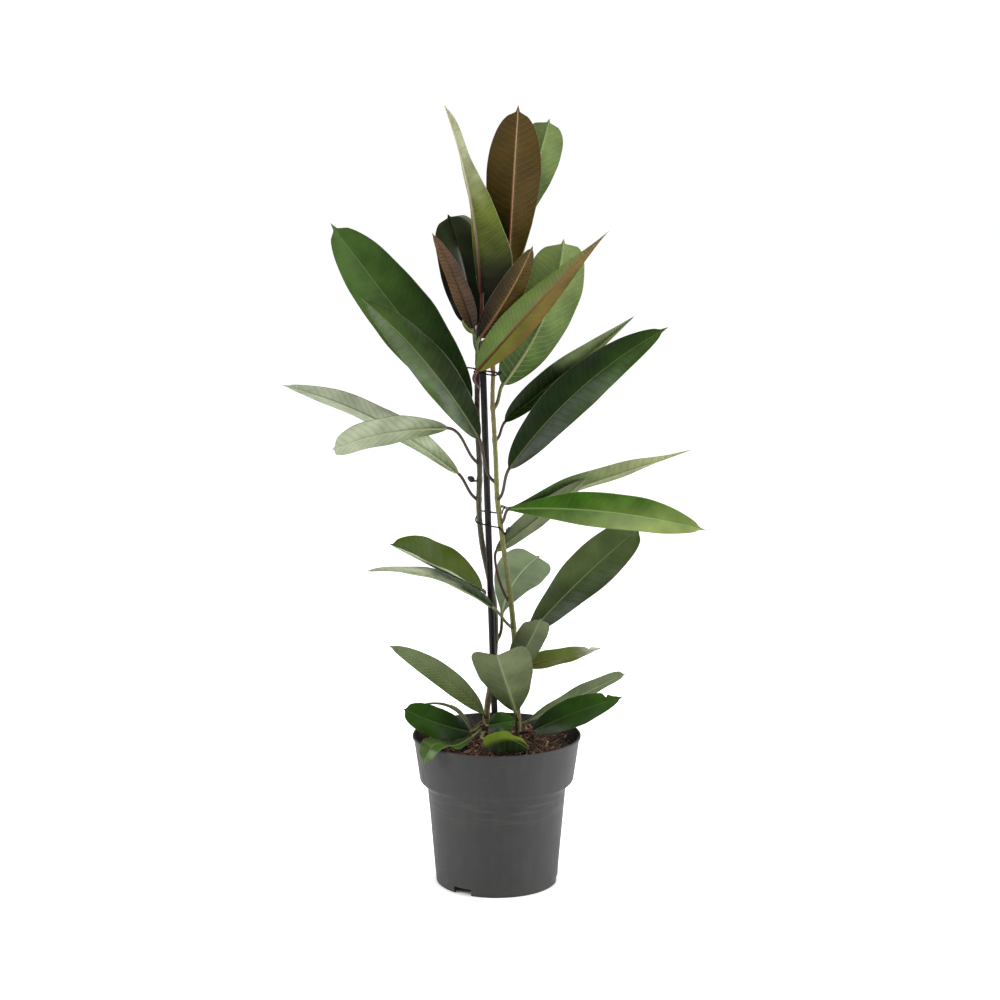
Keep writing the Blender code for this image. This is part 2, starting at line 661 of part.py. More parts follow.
def add_hole(soil, name, place, radius, cutters):
    """Cuts a round hole in the soil for a post of this radius."""
    wide = (radius + GAP) / math.cos(math.pi / HOLE_SIDES)
    depth = HOLE_DEPTH + GAP + 2 * CUTTER_MARGIN
    middle = SOIL_TOP - HOLE_DEPTH - GAP + depth / 2
    bpy.ops.mesh.primitive_cylinder_add(vertices=HOLE_SIDES, radius=wide * MM, depth=depth * MM)
    cutter = bpy.context.object
    cutter.name = name
    cutter.location = (place[0] * MM, place[1] * MM, middle * MM)
    hide_cutter(cutter, cutters)
    cut_with(soil, cutter)


def clear_scene():
    """Removes every object that the scene starts with."""
    for thing in list(bpy.data.objects):
        bpy.data.objects.remove(thing)


def make_collection(name):
    """A new collection of the scene."""
    collection = bpy.data.collections.new(name)
    bpy.context.scene.collection.children.link(collection)
    return collection


def main():
    """Builds the plant, its pot and what holds it up."""
    clear_scene()
    plant = make_collection("potted_ficus")
    cutters = make_collection("cutters")
    plastic = make_material("pot plastic", (0.09, 0.092, 0.093), 0.45)
    earth = make_material("bark soil", (0.085, 0.04, 0.025), 0.95)
    bark = make_material("stem bark", (0.17, 0.14, 0.05), 0.6)
    black = make_material("stake and wire", (0.02, 0.02, 0.02), 0.4)
    green = {tone: make_material(f"{tone} leaf", colour, 0.35) for tone, colour in LEAF_COLOURS.items()}
    make_pot(plastic, plant, cutters)
    make_soil(earth, plant, cutters)
    for stem in STEMS.values():
        make_stem(stem, bark, plant)
    make_stake(black, plant)
    make_tie("tie_upper", 645, 4.0, 1.4, 170, ((-13, 7, 1), (5, -4, 3)), black, plant)
    make_tie("tie_lower", 471, 30.0, 1.02, -5, ((3, -4, 6), (4, -4, 8)), black, plant)
    for leaf in LEAVES:
        make_leaf(leaf, green[leaf.tone], plant)


main()
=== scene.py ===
"""Potted ficus: the finished leaves, stems, wires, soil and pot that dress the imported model."""

import logging
import math
from dataclasses import dataclass
from enum import Enum
from functools import cache, cached_property

import bmesh
import bpy
import numpy as np
from bpy.types import ID, Material, Mesh, Node, NodeSocket, NodeTree, Object
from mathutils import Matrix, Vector, noise

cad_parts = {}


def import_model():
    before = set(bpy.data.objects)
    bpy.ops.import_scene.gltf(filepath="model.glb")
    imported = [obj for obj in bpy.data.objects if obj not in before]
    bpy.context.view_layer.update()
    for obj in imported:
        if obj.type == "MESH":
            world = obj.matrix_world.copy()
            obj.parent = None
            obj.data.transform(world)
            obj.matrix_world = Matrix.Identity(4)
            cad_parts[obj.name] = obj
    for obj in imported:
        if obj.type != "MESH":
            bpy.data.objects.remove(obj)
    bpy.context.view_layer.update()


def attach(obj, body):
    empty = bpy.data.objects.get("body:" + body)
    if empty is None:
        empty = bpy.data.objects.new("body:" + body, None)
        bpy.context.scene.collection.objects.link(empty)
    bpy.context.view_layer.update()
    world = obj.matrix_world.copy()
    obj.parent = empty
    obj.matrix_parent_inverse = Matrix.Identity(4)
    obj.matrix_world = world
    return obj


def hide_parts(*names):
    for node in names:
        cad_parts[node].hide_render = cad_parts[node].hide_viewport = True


LOG = logging.getLogger("potted_ficus")
Colour = tuple[float, float, float]
Place = tuple[float, float, float]
Dressing = list[Material]
Number = "Value | float"

# Sizes are in millimetres, and MM turns them into the scene's metres
MM = 0.001
BODY = "root"

# What the CAD leaves between its pieces, which the wires keep here
WIRE_CLEARANCE = 0.3

SOIL_TOP = 175.0
SEED = 20
TINT_SEED = 5


class Slot(Enum):
    """The material slots of the record."""

    POT = "pot"
    SOIL = "soil"
    STAKE = "stake"
    TIE = "tie"
    STEM = "stem"
    SHEATH = "sheath"
    LEAF = "leaf"
    YOUNG = "leaf_young"
    PALE = "leaf_pale"
    BRIGHT = "leaf_bright"


class Value:
    """A number that a node tree works out, which takes part in ordinary arithmetic."""

    def __init__(self, graph: "Graph", socket: NodeSocket) -> None:
        """Args:
            graph: the tree that holds the socket.
            socket: the output that carries the number.
        """
        self.graph = graph
        self.socket = socket

    def __add__(self, other: Number) -> "Value":
        """The sum."""
        return self.graph.calc("ADD", self, other)

    def __sub__(self, other: Number) -> "Value":
        """The difference."""
        return self.graph.calc("SUBTRACT", self, other)

    def __rsub__(self, other: float) -> "Value":
        """The difference from a plain number."""
        return self.graph.calc("SUBTRACT", other, self)

    def __mul__(self, other: Number) -> "Value":
        """The product."""
        return self.graph.calc("MULTIPLY", self, other)

    def __truediv__(self, other: Number) -> "Value":
        """The quotient."""
        return self.graph.calc("DIVIDE", self, other)


class Graph:
    """A node tree in the making, with short calls that add nodes and join them."""

    def __init__(self, tree: NodeTree) -> None:
        """Args:
            tree: the tree that the nodes go into.
        """
        self.tree = tree

    @cached_property
    def door(self) -> Node:
        """The node that brings in what the tree is given."""
        return self.tree.nodes.new("NodeGroupInput")

    def given(self, label: str) -> NodeSocket:
        """What comes in under this name."""
        return self.door.outputs[label]

    def number(self, label: str) -> Value:
        """The number that comes in under this name."""
        return Value(self, self.given(label))

    def feed(self, socket: NodeSocket, value: object) -> None:
        """Joins an output to an input, or sets the input's own value.

        Args:
            socket: the input.
            value: a Value, an output socket, a number, a text or a colour.
        """
        if isinstance(value, Value):
            value = value.socket
        if isinstance(value, NodeSocket):
            self.tree.links.new(value, socket)
        elif socket.type == "RGBA" and len(value) == 3:
            socket.default_value = (*value, 1.0)
        else:
            socket.default_value = value

    def add(self, kind: str, inputs: dict | None = None, **settings: object) -> Node:
        """Adds a node.

        Args:
            kind: the node's type.
            inputs: its inputs, by name or place.
            **settings: its own properties.

        Returns:
            The node.
        """
        node = self.tree.nodes.new(kind)
        for name, value in settings.items():
            setattr(node, name, value)
        for key, value in (inputs or {}).items():
            self.feed(node.inputs[key], value)
        return node

    def calc(self, operation: str, *terms: Number) -> Value:
        """One step of arithmetic.

        Args:
            operation: the Math node's operation.
            *terms: its inputs.

        Returns:
            The result.
        """
        node = self.add("ShaderNodeMath", dict(enumerate(terms)), operation=operation)
        return Value(self, node.outputs[0])

    def ramp(self, value: Value, low: Number, high: Number, start: float = 0.0, end: float = 1.0) -> Value:
        """A soft step.

        Args:
            value: what is measured.
            low: where the step starts.
            high: where it ends.
            start: the result up to low.
            end: the result from high on.

        Returns:
            The step's height.
        """
        inputs = {0: value, 1: low, 2: high, 3: start, 4: end}
        node = self.add("ShaderNodeMapRange", inputs, interpolation_type="SMOOTHSTEP")
        return Value(self, node.outputs[0])

    def vector(self, x: Number, y: Number, z: Number) -> NodeSocket:
        """A vector of three numbers."""
        return self.add("ShaderNodeCombineXYZ", {0: x, 1: y, 2: z}).outputs[0]

    def split(self, vector: NodeSocket) -> list[Value]:
        """The three numbers of a vector."""
        return [Value(self, socket) for socket in self.add("ShaderNodeSeparateXYZ", {0: vector}).outputs]

    def cloud(self, vector: NodeSocket, scale: float, detail: float = 2.0) -> Value:
        """Soft noise from 0 to 1."""
        node = self.add("ShaderNodeTexNoise", {"Vector": vector, "Scale": scale, "Detail": detail})
        return Value(self, node.outputs["Fac"])

    def cells(self, vector: NodeSocket, scale: float, feature: str = "DISTANCE_TO_EDGE") -> Value:
        """Distances in a pattern of irregular cells."""
        node = self.add("ShaderNodeTexVoronoi", {"Vector": vector, "Scale": scale}, feature=feature)
        return Value(self, node.outputs["Distance"])

    def blend(self, share: object, first: object, second: object, kind: str = "MIX") -> NodeSocket:
        """Mixes two colours.

        Args:
            share: how much of the second shows.
            first: a colour or a socket.
            second: a colour or a socket.
            kind: the blend type.

        Returns:
            The mixed colour.
        """
        node = self.add("ShaderNodeMix", data_type="RGBA", blend_type=kind)
        for place, value in ((0, share), (6, first), (7, second)):
            self.feed(node.inputs[place], value)
        return node.outputs[2]

    def shaded(self, colour: object, share: Value) -> NodeSocket:
        """The colour times a share."""
        return self.blend(1.0, colour, self.vector(share, share, share), "MULTIPLY")

    def attribute(self, name: str) -> NodeSocket:
        """A vector that the mesh stores."""
        return self.add("ShaderNodeAttribute", attribute_name=name).outputs["Vector"]


class Group(Graph):
    """A shader node group with named inputs and outputs."""

    def __init__(self, name: str, numbers: dict[str, float], colours: tuple[str, ...] = ()) -> None:
        """Args:
            name: the group's name.
            numbers: its number inputs with their first values.
            colours: the names of its colour inputs.
        """
        super().__init__(bpy.data.node_groups.new(name, "ShaderNodeTree"))
        for label, first in numbers.items():
            made = self.tree.interface.new_socket(label, in_out="INPUT", socket_type="NodeSocketFloat")
            made.default_value = first
        for label in colours:
            self.tree.interface.new_socket(label, in_out="INPUT", socket_type="NodeSocketColor")

    def close(self, results: dict[str, object]) -> NodeTree:
        """Adds the group's outputs.

        Args:
            results: what each output carries.

        Returns:
            The finished tree.
        """
        for label, value in results.items():
            kind = "NodeSocketFloat" if isinstance(value, Value) else "NodeSocketColor"
            self.tree.interface.new_socket(label, in_out="OUTPUT", socket_type=kind)
        way_out = self.tree.nodes.new("NodeGroupOutput")
        for label, value in results.items():
            self.feed(way_out.inputs[label], value)
        return self.tree


class Skin(Graph):
    """A material in the making, round one Principled shader."""

    def __init__(
        self, name: str, roughness: float, coat: float = 0.0, coat_roughness: float = 0.1,
        shine: float = 0.5,
    ) -> None:
        """Args:
            name: the material's name.
            roughness: the roughness where nothing feeds it.
            coat: the strength of the clear layer on top.
            coat_roughness: how dull that layer is.
            shine: how strongly the surface mirrors.
        """
        self.material = bpy.data.materials.new(name)
        self.material.use_nodes = True
        super().__init__(self.material.node_tree)
        self.shader = self.tree.nodes["Principled BSDF"]
        self.shader.inputs["Roughness"].default_value = roughness
        self.shader.inputs["Coat Weight"].default_value = coat
        self.shader.inputs["Coat Roughness"].default_value = coat_roughness
        self.shader.inputs["Specular IOR Level"].default_value = shine

    def spot(self) -> NodeSocket:
        """The point on the piece, in millimetres."""
        place = self.add("ShaderNodeTexCoord").outputs["Object"]
        return self.add("ShaderNodeVectorMath", {0: place, "Scale": 1 / MM}, operation="SCALE").outputs[0]

    def use(self, tree: NodeTree, inputs: dict[str, object]) -> list[Value]:
        """Places a node group.

        Args:
            tree: the group.
            inputs: its inputs by name.

        Returns:
            Its outputs, in their order.
        """
        node = self.add("ShaderNodeGroup", node_tree=tree)
        for name, value in inputs.items():
            self.feed(node.inputs[name], value)
        return [Value(self, socket) for socket in node.outputs]

    def finish(self, colour: object, roughness: object, height: object, depth: float) -> Material:
        """Joins colour, roughness and relief to the shader.

        Args:
            colour: the base colour.
            roughness: the roughness.
            height: the relief from 0 to 1.
            depth: how deep the relief is, in millimetres.

        Returns:
            The material.
        """
        self.feed(self.shader.inputs["Base Color"], colour)
        self.feed(self.shader.inputs["Roughness"], roughness)
        bump = self.add("ShaderNodeBump", {"Height": height, "Distance": depth * MM})
        self.feed(self.shader.inputs["Normal"], bump.outputs[0])
        return self.material


@cache
def vein_pattern() -> NodeTree:
    """The side veins of a blade: paired lines that leave the midrib and bend towards the tip.

    Returns:
        A group that gives the veins, the swell between them and the fine net.
    """
    numbers = {
        "Along": 0.0, "Across": 0.0, "Edge": 0.0,
        "Spacing": 8.0, "Slant": 0.3, "Bend": 0.01, "Breadth": 0.26,
    }
    group = Group("leaf veins", numbers)
    along, across, edge, spacing, slant, bend, breadth = map(group.number, numbers)
    reach = group.calc("ABSOLUTE", across)
    side = group.calc("GREATER_THAN", across, 0.0)
    spot = group.vector(along, across, 0.0)
    wander = group.cloud(spot, 0.035) - 0.5
    lean = slant * reach + bend * reach * reach
    place = (along - lean) / spacing + side * 0.5 + wander * 0.9
    swing = group.calc("ABSOLUTE", group.calc("FRACT", place) - 0.5) * 2.0
    fine_swing = group.calc("ABSOLUTE", group.calc("FRACT", place * 3.0) - 0.5) * 2.0
    strength = group.cloud(group.vector(place * 0.4, side * 7.0, 0.0), 1.7) * 1.4
    fade = group.ramp(edge, 0.8, 0.99, 1.0, 0.0)
    main_veins = group.ramp(swing, 0.02, breadth, 1.0, 0.0) * strength
    veins = main_veins + group.ramp(fine_swing, 0.0, 0.4, 0.16, 0.0)
    net = group.ramp(group.cells(spot, 0.55), 0.0, 0.14, 1.0, 0.0)
    return group.close({"Veins": veins * fade, "Swell": group.ramp(swing, 0.0, 0.7), "Net": net})


@cache
def leaf_skin() -> NodeTree:
    """The colour and relief of a blade's face, with painted shade near its foot, along the vein creases and
    on one half.

    Returns:
        A group that gives the colour, the roughness and the height.
    """
    numbers = {
        "Share": 0.0, "Edge": 0.0, "Rib": 9.0, "Veins": 0.0, "Swell": 0.0, "Net": 0.0,
        "Along": 0.0, "Across": 0.0, "Contrast": 0.4, "Gloss": 0.3, "Relief": 1.0, "From": 0.0, "To": 1.0,
        "Lean": 0.0, "Bands": 0.0, "Foot shade": 1.0, "Shade reach": 0.24,
    }
    colours = ("Foot", "Tip", "Vein", "Rib foot", "Rib tip", "Margin")
    group = Group("leaf skin", numbers, colours)
    share, edge, rib, veins, swell, net, along, across, *values = map(group.number, numbers)
    contrast, gloss, relief, start, end, lean, bands, foot_shade, shade_reach = values
    foot, tip, vein, rib_foot, rib_tip, margin = map(group.given, colours)
    spot = group.vector(along, across, 0.0)
    cloud = group.cloud(spot, 0.03, 4.0)
    speck = group.cloud(spot, 0.5, 3.0)
    # Lean paints one half towards the tip colour and the other towards the foot colour: mostly painted light
    # and shade on the folded halves, and on AMBER its real green and brown halves
    side = group.calc("SIGN", across) * edge * lean
    change = group.ramp(share + side + (cloud - 0.5) * 0.3, start, end)
    ground = group.blend(change, foot, tip)
    shade = group.ramp(cloud, 0.25, 0.75, 0.78, 1.2) + (speck - 0.5) * 0.12
    # Painted shade: darker along the vein creases between the quilted swells, less so towards the tip colour
    bands = bands * (1.0 - change * 0.6)
    shade = shade * (1.0 - bands * (1.0 - swell))
    # Painted shade: the blade is painted darker near its foot, as dark as Foot shade and as far as Shade
    # reach
    near_foot = group.ramp(share + (cloud - 0.5) * 0.1, 0.02, shade_reach, 1.0, 0.0)
    dim = 1.0 - near_foot * (1.0 - foot_shade)
    ground = group.shaded(ground, shade)
    lines = group.calc("MINIMUM", veins * contrast + net * contrast * 0.12, 1.0)
    ground = group.blend(lines, ground, vein)
    ground = group.shaded(ground, dim)
    rib_colour = group.blend(group.ramp(share, 0.0, 0.9), rib_foot, rib_tip)
    ground = group.blend(group.ramp(rib, 0.55, 1.0, 1.0, 0.0), ground, rib_colour)
    ground = group.blend(group.ramp(edge, 0.955, 0.99, 0.0, 0.8), ground, margin)
    dust = group.ramp(group.cloud(spot, 0.09, 5.0), 0.45, 0.75)
    rough = gloss + dust * 0.12 + veins * 0.04
    height = swell * 0.5 + relief * (veins * 0.35 + net * 0.06) + speck * 0.02
    return group.close({"Colour": ground, "Roughness": rough, "Height": height})


@cache
def wear() -> NodeTree:
    """Fine scuffs, dust and moulding grain for moulded plastic.

    Returns:
        A group that gives the scuffs, the dust and the grain.
    """
    group = Group("wear", {"Scale": 1.0}, ("Spot",))
    scale = group.number("Scale")
    x, y, z = group.split(group.given("Spot"))
    around = group.calc("ARCTAN2", y, x) * 60.0
    scuff_lines = group.cells(group.vector(around * 0.05, 3.0, z * 0.5), 0.3)
    patches = group.cloud(group.vector(x, y, z), 0.05, 3.0)
    scuffs = group.ramp(scuff_lines, 0.0, 0.012, 1.0, 0.0) * group.ramp(patches, 0.58, 0.68)
    smear = group.vector(x * scale, y * scale, z * 0.35 * scale)
    dust = group.ramp(group.cloud(smear, 0.09, 6.0), 0.42, 0.72)
    grain = group.cloud(group.vector(x, y, z), 2.4, 2.0)
    return group.close({"Scuffs": scuffs, "Dust": dust, "Grain": grain})


@dataclass(frozen=True)
class LeafFace:
    """The finish of one face of a blade: how it looks at its foot and tip, and its veins."""

    foot: Colour
    tip: Colour
    vein: Colour
    rib_foot: Colour
    rib_tip: Colour
    margin: Colour
    contrast: float = 0.3
    roughness: float = 0.48
    coat: float = 0.0
    shine: float = 0.2
    relief: float = 1.0
    depth: float = 0.4
    spacing: float = 9.0
    slant: float = 0.3
    change: tuple[float, float] = (0.0, 1.0)
    # lean: one half painted lighter and the other darker, mostly painted light and shade of the folded
    # halves, and on AMBER real two colours
    lean: float = 0.0
    breadth: float = 0.26
    # bands paints shade along the vein creases, and foot_shade and shade_reach paint the blade darker near
    # its foot, how dark and how far: all painted shade
    bands: float = 0.0
    foot_shade: float = 1.0
    shade_reach: float = 0.24

    @cache
    def material(self, name: str) -> Material:
        """The face's material, which follows the blade's own measures.

        Args:
            name: its name.

        Returns:
            The material.
        """
        skin = Skin(name, self.roughness, self.coat, 0.18, self.shine)
        along, across, _ = skin.split(skin.attribute("blade"))
        share, edge, rib = skin.split(skin.attribute("blade_share"))
        measures = {"Along": along, "Across": across, "Edge": edge}
        layout = {"Spacing": self.spacing, "Slant": self.slant, "Breadth": self.breadth}
        veins, swell, net = skin.use(vein_pattern(), {**measures, **layout})
        colours = {
            "Foot": self.foot, "Tip": self.tip, "Vein": self.vein,
            "Rib foot": self.rib_foot, "Rib tip": self.rib_tip, "Margin": self.margin,
        }
        values = {
            "Share": share, "Rib": rib, "Veins": veins, "Swell": swell, "Net": net,
            "Contrast": self.contrast, "Gloss": self.roughness, "Relief": self.relief,
            "From": self.change[0], "To": self.change[1], "Lean": self.lean, "Bands": self.bands,
            "Foot shade": self.foot_shade, "Shade reach": self.shade_reach,
        }
        return skin.finish(*skin.use(leaf_skin(), {**measures, **colours, **values}), self.depth)


@dataclass(frozen=True)
class UpperFace(LeafFace):
    """The finish of an upper face, where the veins are faint and lie a little deep."""

    contrast: float = 0.25
    roughness: float = 0.36
    coat: float = 0.03
    relief: float = -0.2
    depth: float = 0.12


@dataclass(frozen=True)
class StalkSkin:
    """The finish of a leaf's stalk."""

    name: str
    foot: Colour
    top: Colour
    roughness: float = 0.42

    @cache
    def material(self) -> Material:
        """The stalk's material, streaked along its length.

        Returns:
            The material.
        """
        skin = Skin(f"stalk {self.name}", self.roughness, 0.1, 0.25)
        along, across, _ = skin.split(skin.attribute("blade"))
        share, _, _ = skin.split(skin.attribute("blade_share"))
        streaks = skin.cloud(skin.vector(along * 0.12, across * 1.6, 0.0), 1.0, 3.0)
        pores = skin.ramp(skin.cells(skin.vector(along * 0.5, across, 0.0), 0.9, "F1"), 0.1, 0.22, 1.0, 0.0)
        ground = skin.blend(skin.ramp(share, -1.0, 0.0), self.foot, self.top)
        ground = skin.shaded(ground, skin.ramp(streaks, 0.3, 0.7, 0.65, 1.3))
        ground = skin.blend(pores * 0.35, ground, (0.2, 0.15, 0.09))
        return skin.finish(ground, streaks * 0.1 + self.roughness, streaks + pores * 0.4, 0.2)


class Upper(Enum):
    """The finishes of the upper faces."""

    DEEP = UpperFace(
        (0.006, 0.018, 0.001), (0.03, 0.072, 0.006), (0.04, 0.08, 0.016), (0.06, 0.08, 0.015),
        (0.09, 0.14, 0.04), (0.08, 0.1, 0.035), contrast=0.15, shine=0.17, change=(0.25, 1.1), lean=0.3,
    )
    POLISHED = UpperFace(
        (0.009, 0.03, 0.001), (0.03, 0.09, 0.003), (0.03, 0.09, 0.01), (0.05, 0.08, 0.012),
        (0.07, 0.14, 0.03), (0.07, 0.12, 0.03), contrast=0.15, roughness=0.4, coat=0.02, shine=0.15,
        depth=0.1, change=(0.0, 0.9), foot_shade=0.6,
    )
    MID = UpperFace(
        (0.016, 0.038, 0.006), (0.068, 0.137, 0.024), (0.07, 0.13, 0.03), (0.1, 0.14, 0.03),
        (0.14, 0.24, 0.07), (0.1, 0.15, 0.05), contrast=0.18, coat=0.04, change=(-0.1, 1.0), lean=-0.35,
    )
    SHEEN = UpperFace(
        (0.014, 0.028, 0.004), (0.05, 0.1, 0.012), (0.08, 0.13, 0.04), (0.12, 0.16, 0.05),
        (0.16, 0.24, 0.08), (0.12, 0.16, 0.06), contrast=0.18, coat=0.04, shine=0.24, change=(0.0, 0.85),
        lean=-0.45,
    )
    FRESH = UpperFace(
        (0.035, 0.105, 0.003), (0.24, 0.3, 0.09), (0.13, 0.23, 0.045), (0.16, 0.24, 0.05),
        (0.26, 0.38, 0.12), (0.2, 0.28, 0.1), contrast=0.2, roughness=0.38, change=(0.15, 1.2), lean=0.3,
    )
    YOUNG = UpperFace(
        (0.085, 0.125, 0.004), (0.045, 0.085, 0.004), (0.08, 0.12, 0.02), (0.14, 0.04, 0.015),
        (0.14, 0.08, 0.02), (0.12, 0.14, 0.04), contrast=0.12, roughness=0.42, coat=0.02, shine=0.1,
        relief=-0.1, depth=0.1,
    )
    # Painted shade: the near-black tip colour, which lean lays over the near half, stands for the shade on
    # the side that curls down
    BRIGHT = UpperFace(
        (0.13, 0.19, 0.02), (0.008, 0.015, 0.003), (0.11, 0.18, 0.03), (0.12, 0.18, 0.02), (0.1, 0.15, 0.03),
        (0.03, 0.04, 0.01), contrast=0.12, roughness=0.45, coat=0.0, shine=0.06, depth=0.1,
        change=(0.35, 0.8), lean=0.7,
    )
    GREY = UpperFace(
        (0.018, 0.036, 0.005), (0.085, 0.125, 0.036), (0.08, 0.12, 0.04), (0.12, 0.18, 0.06),
        (0.17, 0.24, 0.1), (0.09, 0.12, 0.05), roughness=0.4, shine=0.22, relief=-0.3, depth=0.16,
        change=(0.0, 1.1), lean=-0.4,
    )
    STRIPED = UpperFace(
        (0.075, 0.115, 0.025), (0.14, 0.19, 0.08), (0.28, 0.34, 0.14), (0.12, 0.14, 0.04), (0.16, 0.2, 0.07),
        (0.12, 0.14, 0.06), contrast=0.45, roughness=0.45, coat=0.02, relief=-0.4, depth=0.3, slant=1.3,
        spacing=6.0, change=(0.0, 0.9), lean=0.3, breadth=0.7, bands=0.2,
    )
    # Painted shade and light: foot_shade paints the foot near black, and the lighter tip colour is partly
    # the face's own green and partly a painted highlight
    NIGHT = UpperFace(
        (0.004, 0.006, 0.002), (0.04, 0.052, 0.02), (0.02, 0.02, 0.008), (0.02, 0.015, 0.006),
        (0.03, 0.035, 0.012), (0.05, 0.045, 0.025), contrast=0.1, roughness=0.34, coat=0.08, relief=0.0,
        depth=0.02, change=(0.35, 1.1), foot_shade=0.3,
    )
    TWISTED = UpperFace(
        (0.006, 0.018, 0.001), (0.2, 0.26, 0.11), (0.1, 0.15, 0.05), (0.06, 0.08, 0.015), (0.3, 0.36, 0.2),
        (0.16, 0.2, 0.09), contrast=0.2, roughness=0.38, change=(0.4, 0.72),
    )
    SAGE = UpperFace(
        (0.075, 0.105, 0.05), (0.125, 0.165, 0.085), (0.15, 0.19, 0.1), (0.2, 0.25, 0.12),
        (0.28, 0.34, 0.18), (0.2, 0.24, 0.14), roughness=0.46, coat=0.02, relief=-0.3, depth=0.16,
    )
    # Painted sheen: its light grey-green colours stand for the grey reflection on a face that looks up
    SILVER = UpperFace(
        (0.12, 0.16, 0.07), (0.2, 0.25, 0.13), (0.25, 0.3, 0.18), (0.3, 0.36, 0.2), (0.5, 0.56, 0.38),
        (0.15, 0.18, 0.08), roughness=0.42, shine=0.25, relief=-0.3, depth=0.16, change=(-0.2, 0.9),
        lean=0.3,
    )


class Under(Enum):
    """The finishes of the undersides."""

    PALE = LeafFace(
        (0.19, 0.26, 0.11), (0.36, 0.4, 0.27), (0.15, 0.24, 0.1), (0.36, 0.38, 0.2), (0.44, 0.5, 0.31),
        (0.15, 0.18, 0.08), contrast=0.22, roughness=0.55, spacing=10.0, slant=0.7, breadth=0.6, bands=0.2,
        change=(-0.1, 0.5), lean=-0.15, foot_shade=0.7,
    )
    # Painted shadow: the dark foot colour, which lean lays along the upper half, stands for the shade
    # between this leaf and the one above it
    DUSKY = LeafFace(
        (0.012, 0.032, 0.006), (0.34, 0.38, 0.24), (0.15, 0.2, 0.1), (0.24, 0.28, 0.12), (0.44, 0.5, 0.31),
        (0.15, 0.18, 0.08), contrast=0.22, roughness=0.5, spacing=10.0, slant=0.7, breadth=0.6, bands=0.15,
        change=(0.15, 0.5), lean=0.35,
    )
    JADE = LeafFace(
        (0.06, 0.12, 0.022), (0.34, 0.36, 0.17), (0.15, 0.2, 0.08), (0.2, 0.2, 0.08), (0.42, 0.42, 0.24),
        (0.12, 0.15, 0.05), roughness=0.5, spacing=10.0, breadth=0.5, bands=0.15, change=(0.1, 1.0),
    )
    SAGE = LeafFace(
        (0.085, 0.12, 0.045), (0.125, 0.15, 0.07), (0.17, 0.2, 0.11), (0.17, 0.19, 0.07), (0.22, 0.24, 0.14),
        (0.08, 0.09, 0.04), contrast=0.25, roughness=0.46, shine=0.24, spacing=12.0, bands=0.1,
        change=(-0.1, 0.6),
    )
    # Painted shade: foot_shade paints the lower blade near black, as far as shade_reach
    LIME = LeafFace(
        (0.12, 0.15, 0.012), (0.45, 0.47, 0.28), (0.34, 0.38, 0.14), (0.09, 0.012, 0.008),
        (0.62, 0.58, 0.42), (0.26, 0.3, 0.14), roughness=0.46, coat=0.02, spacing=12.0, depth=0.6,
        change=(0.42, 0.78), bands=0.16, foot_shade=0.06, shade_reach=0.44,
    )
    MOSS = LeafFace(
        (0.038, 0.078, 0.011), (0.15, 0.205, 0.056), (0.22, 0.3, 0.13), (0.3, 0.3, 0.14), (0.2, 0.3, 0.12),
        (0.1, 0.14, 0.05), contrast=0.5, shine=0.18, spacing=8.0, bands=0.08, change=(-0.05, 0.95),
    )
    # Painted shade: lean paints one half darker, for the shade of the fold
    OLIVE = LeafFace(
        (0.035, 0.023, 0.003), (0.068, 0.04, 0.002), (0.15, 0.095, 0.025), (0.24, 0.04, 0.025),
        (0.36, 0.22, 0.11), (0.03, 0.02, 0.006), contrast=0.45, roughness=0.4, coat=0.03, slant=0.22,
        spacing=8.0, depth=0.5, change=(-0.3, 0.7), lean=-0.5, bands=0.12,
    )
    BRONZE = LeafFace(
        (0.034, 0.015, 0.004), (0.09, 0.042, 0.014), (0.4, 0.28, 0.2), (0.03, 0.014, 0.005),
        (0.1, 0.05, 0.03), (0.2, 0.12, 0.07), contrast=0.14, roughness=0.32, coat=0.04, shine=0.22,
        relief=0.3, depth=1.0, slant=0.1, spacing=5.5, change=(-0.2, 0.9), lean=0.35, breadth=0.45,
        bands=0.35, foot_shade=0.5,
    )
    COPPER = LeafFace(
        (0.014, 0.009, 0.001), (0.075, 0.048, 0.007), (0.12, 0.075, 0.025), (0.16, 0.06, 0.012),
        (0.28, 0.15, 0.06), (0.16, 0.1, 0.05), contrast=0.2, roughness=0.3, coat=0.03, shine=0.18,
        relief=0.0, depth=0.9, slant=0.25, spacing=5.5, change=(-0.2, 1.0), lean=-0.5, breadth=0.45,
        bands=0.3, foot_shade=0.4,
    )
    AMBER = LeafFace(
        (0.075, 0.135, 0.006), (0.13, 0.09, 0.016), (0.17, 0.17, 0.045), (0.08, 0.01, 0.005),
        (0.2, 0.1, 0.03), (0.1, 0.06, 0.02), contrast=0.35, roughness=0.44, coat=0.02, shine=0.16, slant=0.2,
        spacing=6.0, change=(0.0, 0.8), lean=-0.6, bands=0.15,
    )
    SPRING = LeafFace(
        (0.11, 0.15, 0.022), (0.6, 0.62, 0.52), (0.18, 0.24, 0.08), (0.13, 0.04, 0.02), (0.24, 0.16, 0.06),
        (0.3, 0.32, 0.24), change=(0.62, 0.93),
    )


class Stalk(Enum):
    """The finishes of the stalks."""

    RED = StalkSkin("red", (0.06, 0.016, 0.01), (0.1, 0.022, 0.012))
    BROWN = StalkSkin("brown", (0.04, 0.03, 0.018), (0.07, 0.04, 0.022))
    OLIVE = StalkSkin("olive", (0.1, 0.09, 0.025), (0.16, 0.17, 0.06))
    GREEN = StalkSkin("green", (0.05, 0.08, 0.015), (0.12, 0.18, 0.04))


def unit(vector: np.ndarray) -> np.ndarray:
    """The vectors at length 1."""
    vector = np.asarray(vector, float)
    return vector / np.linalg.norm(vector, axis=-1, keepdims=True)


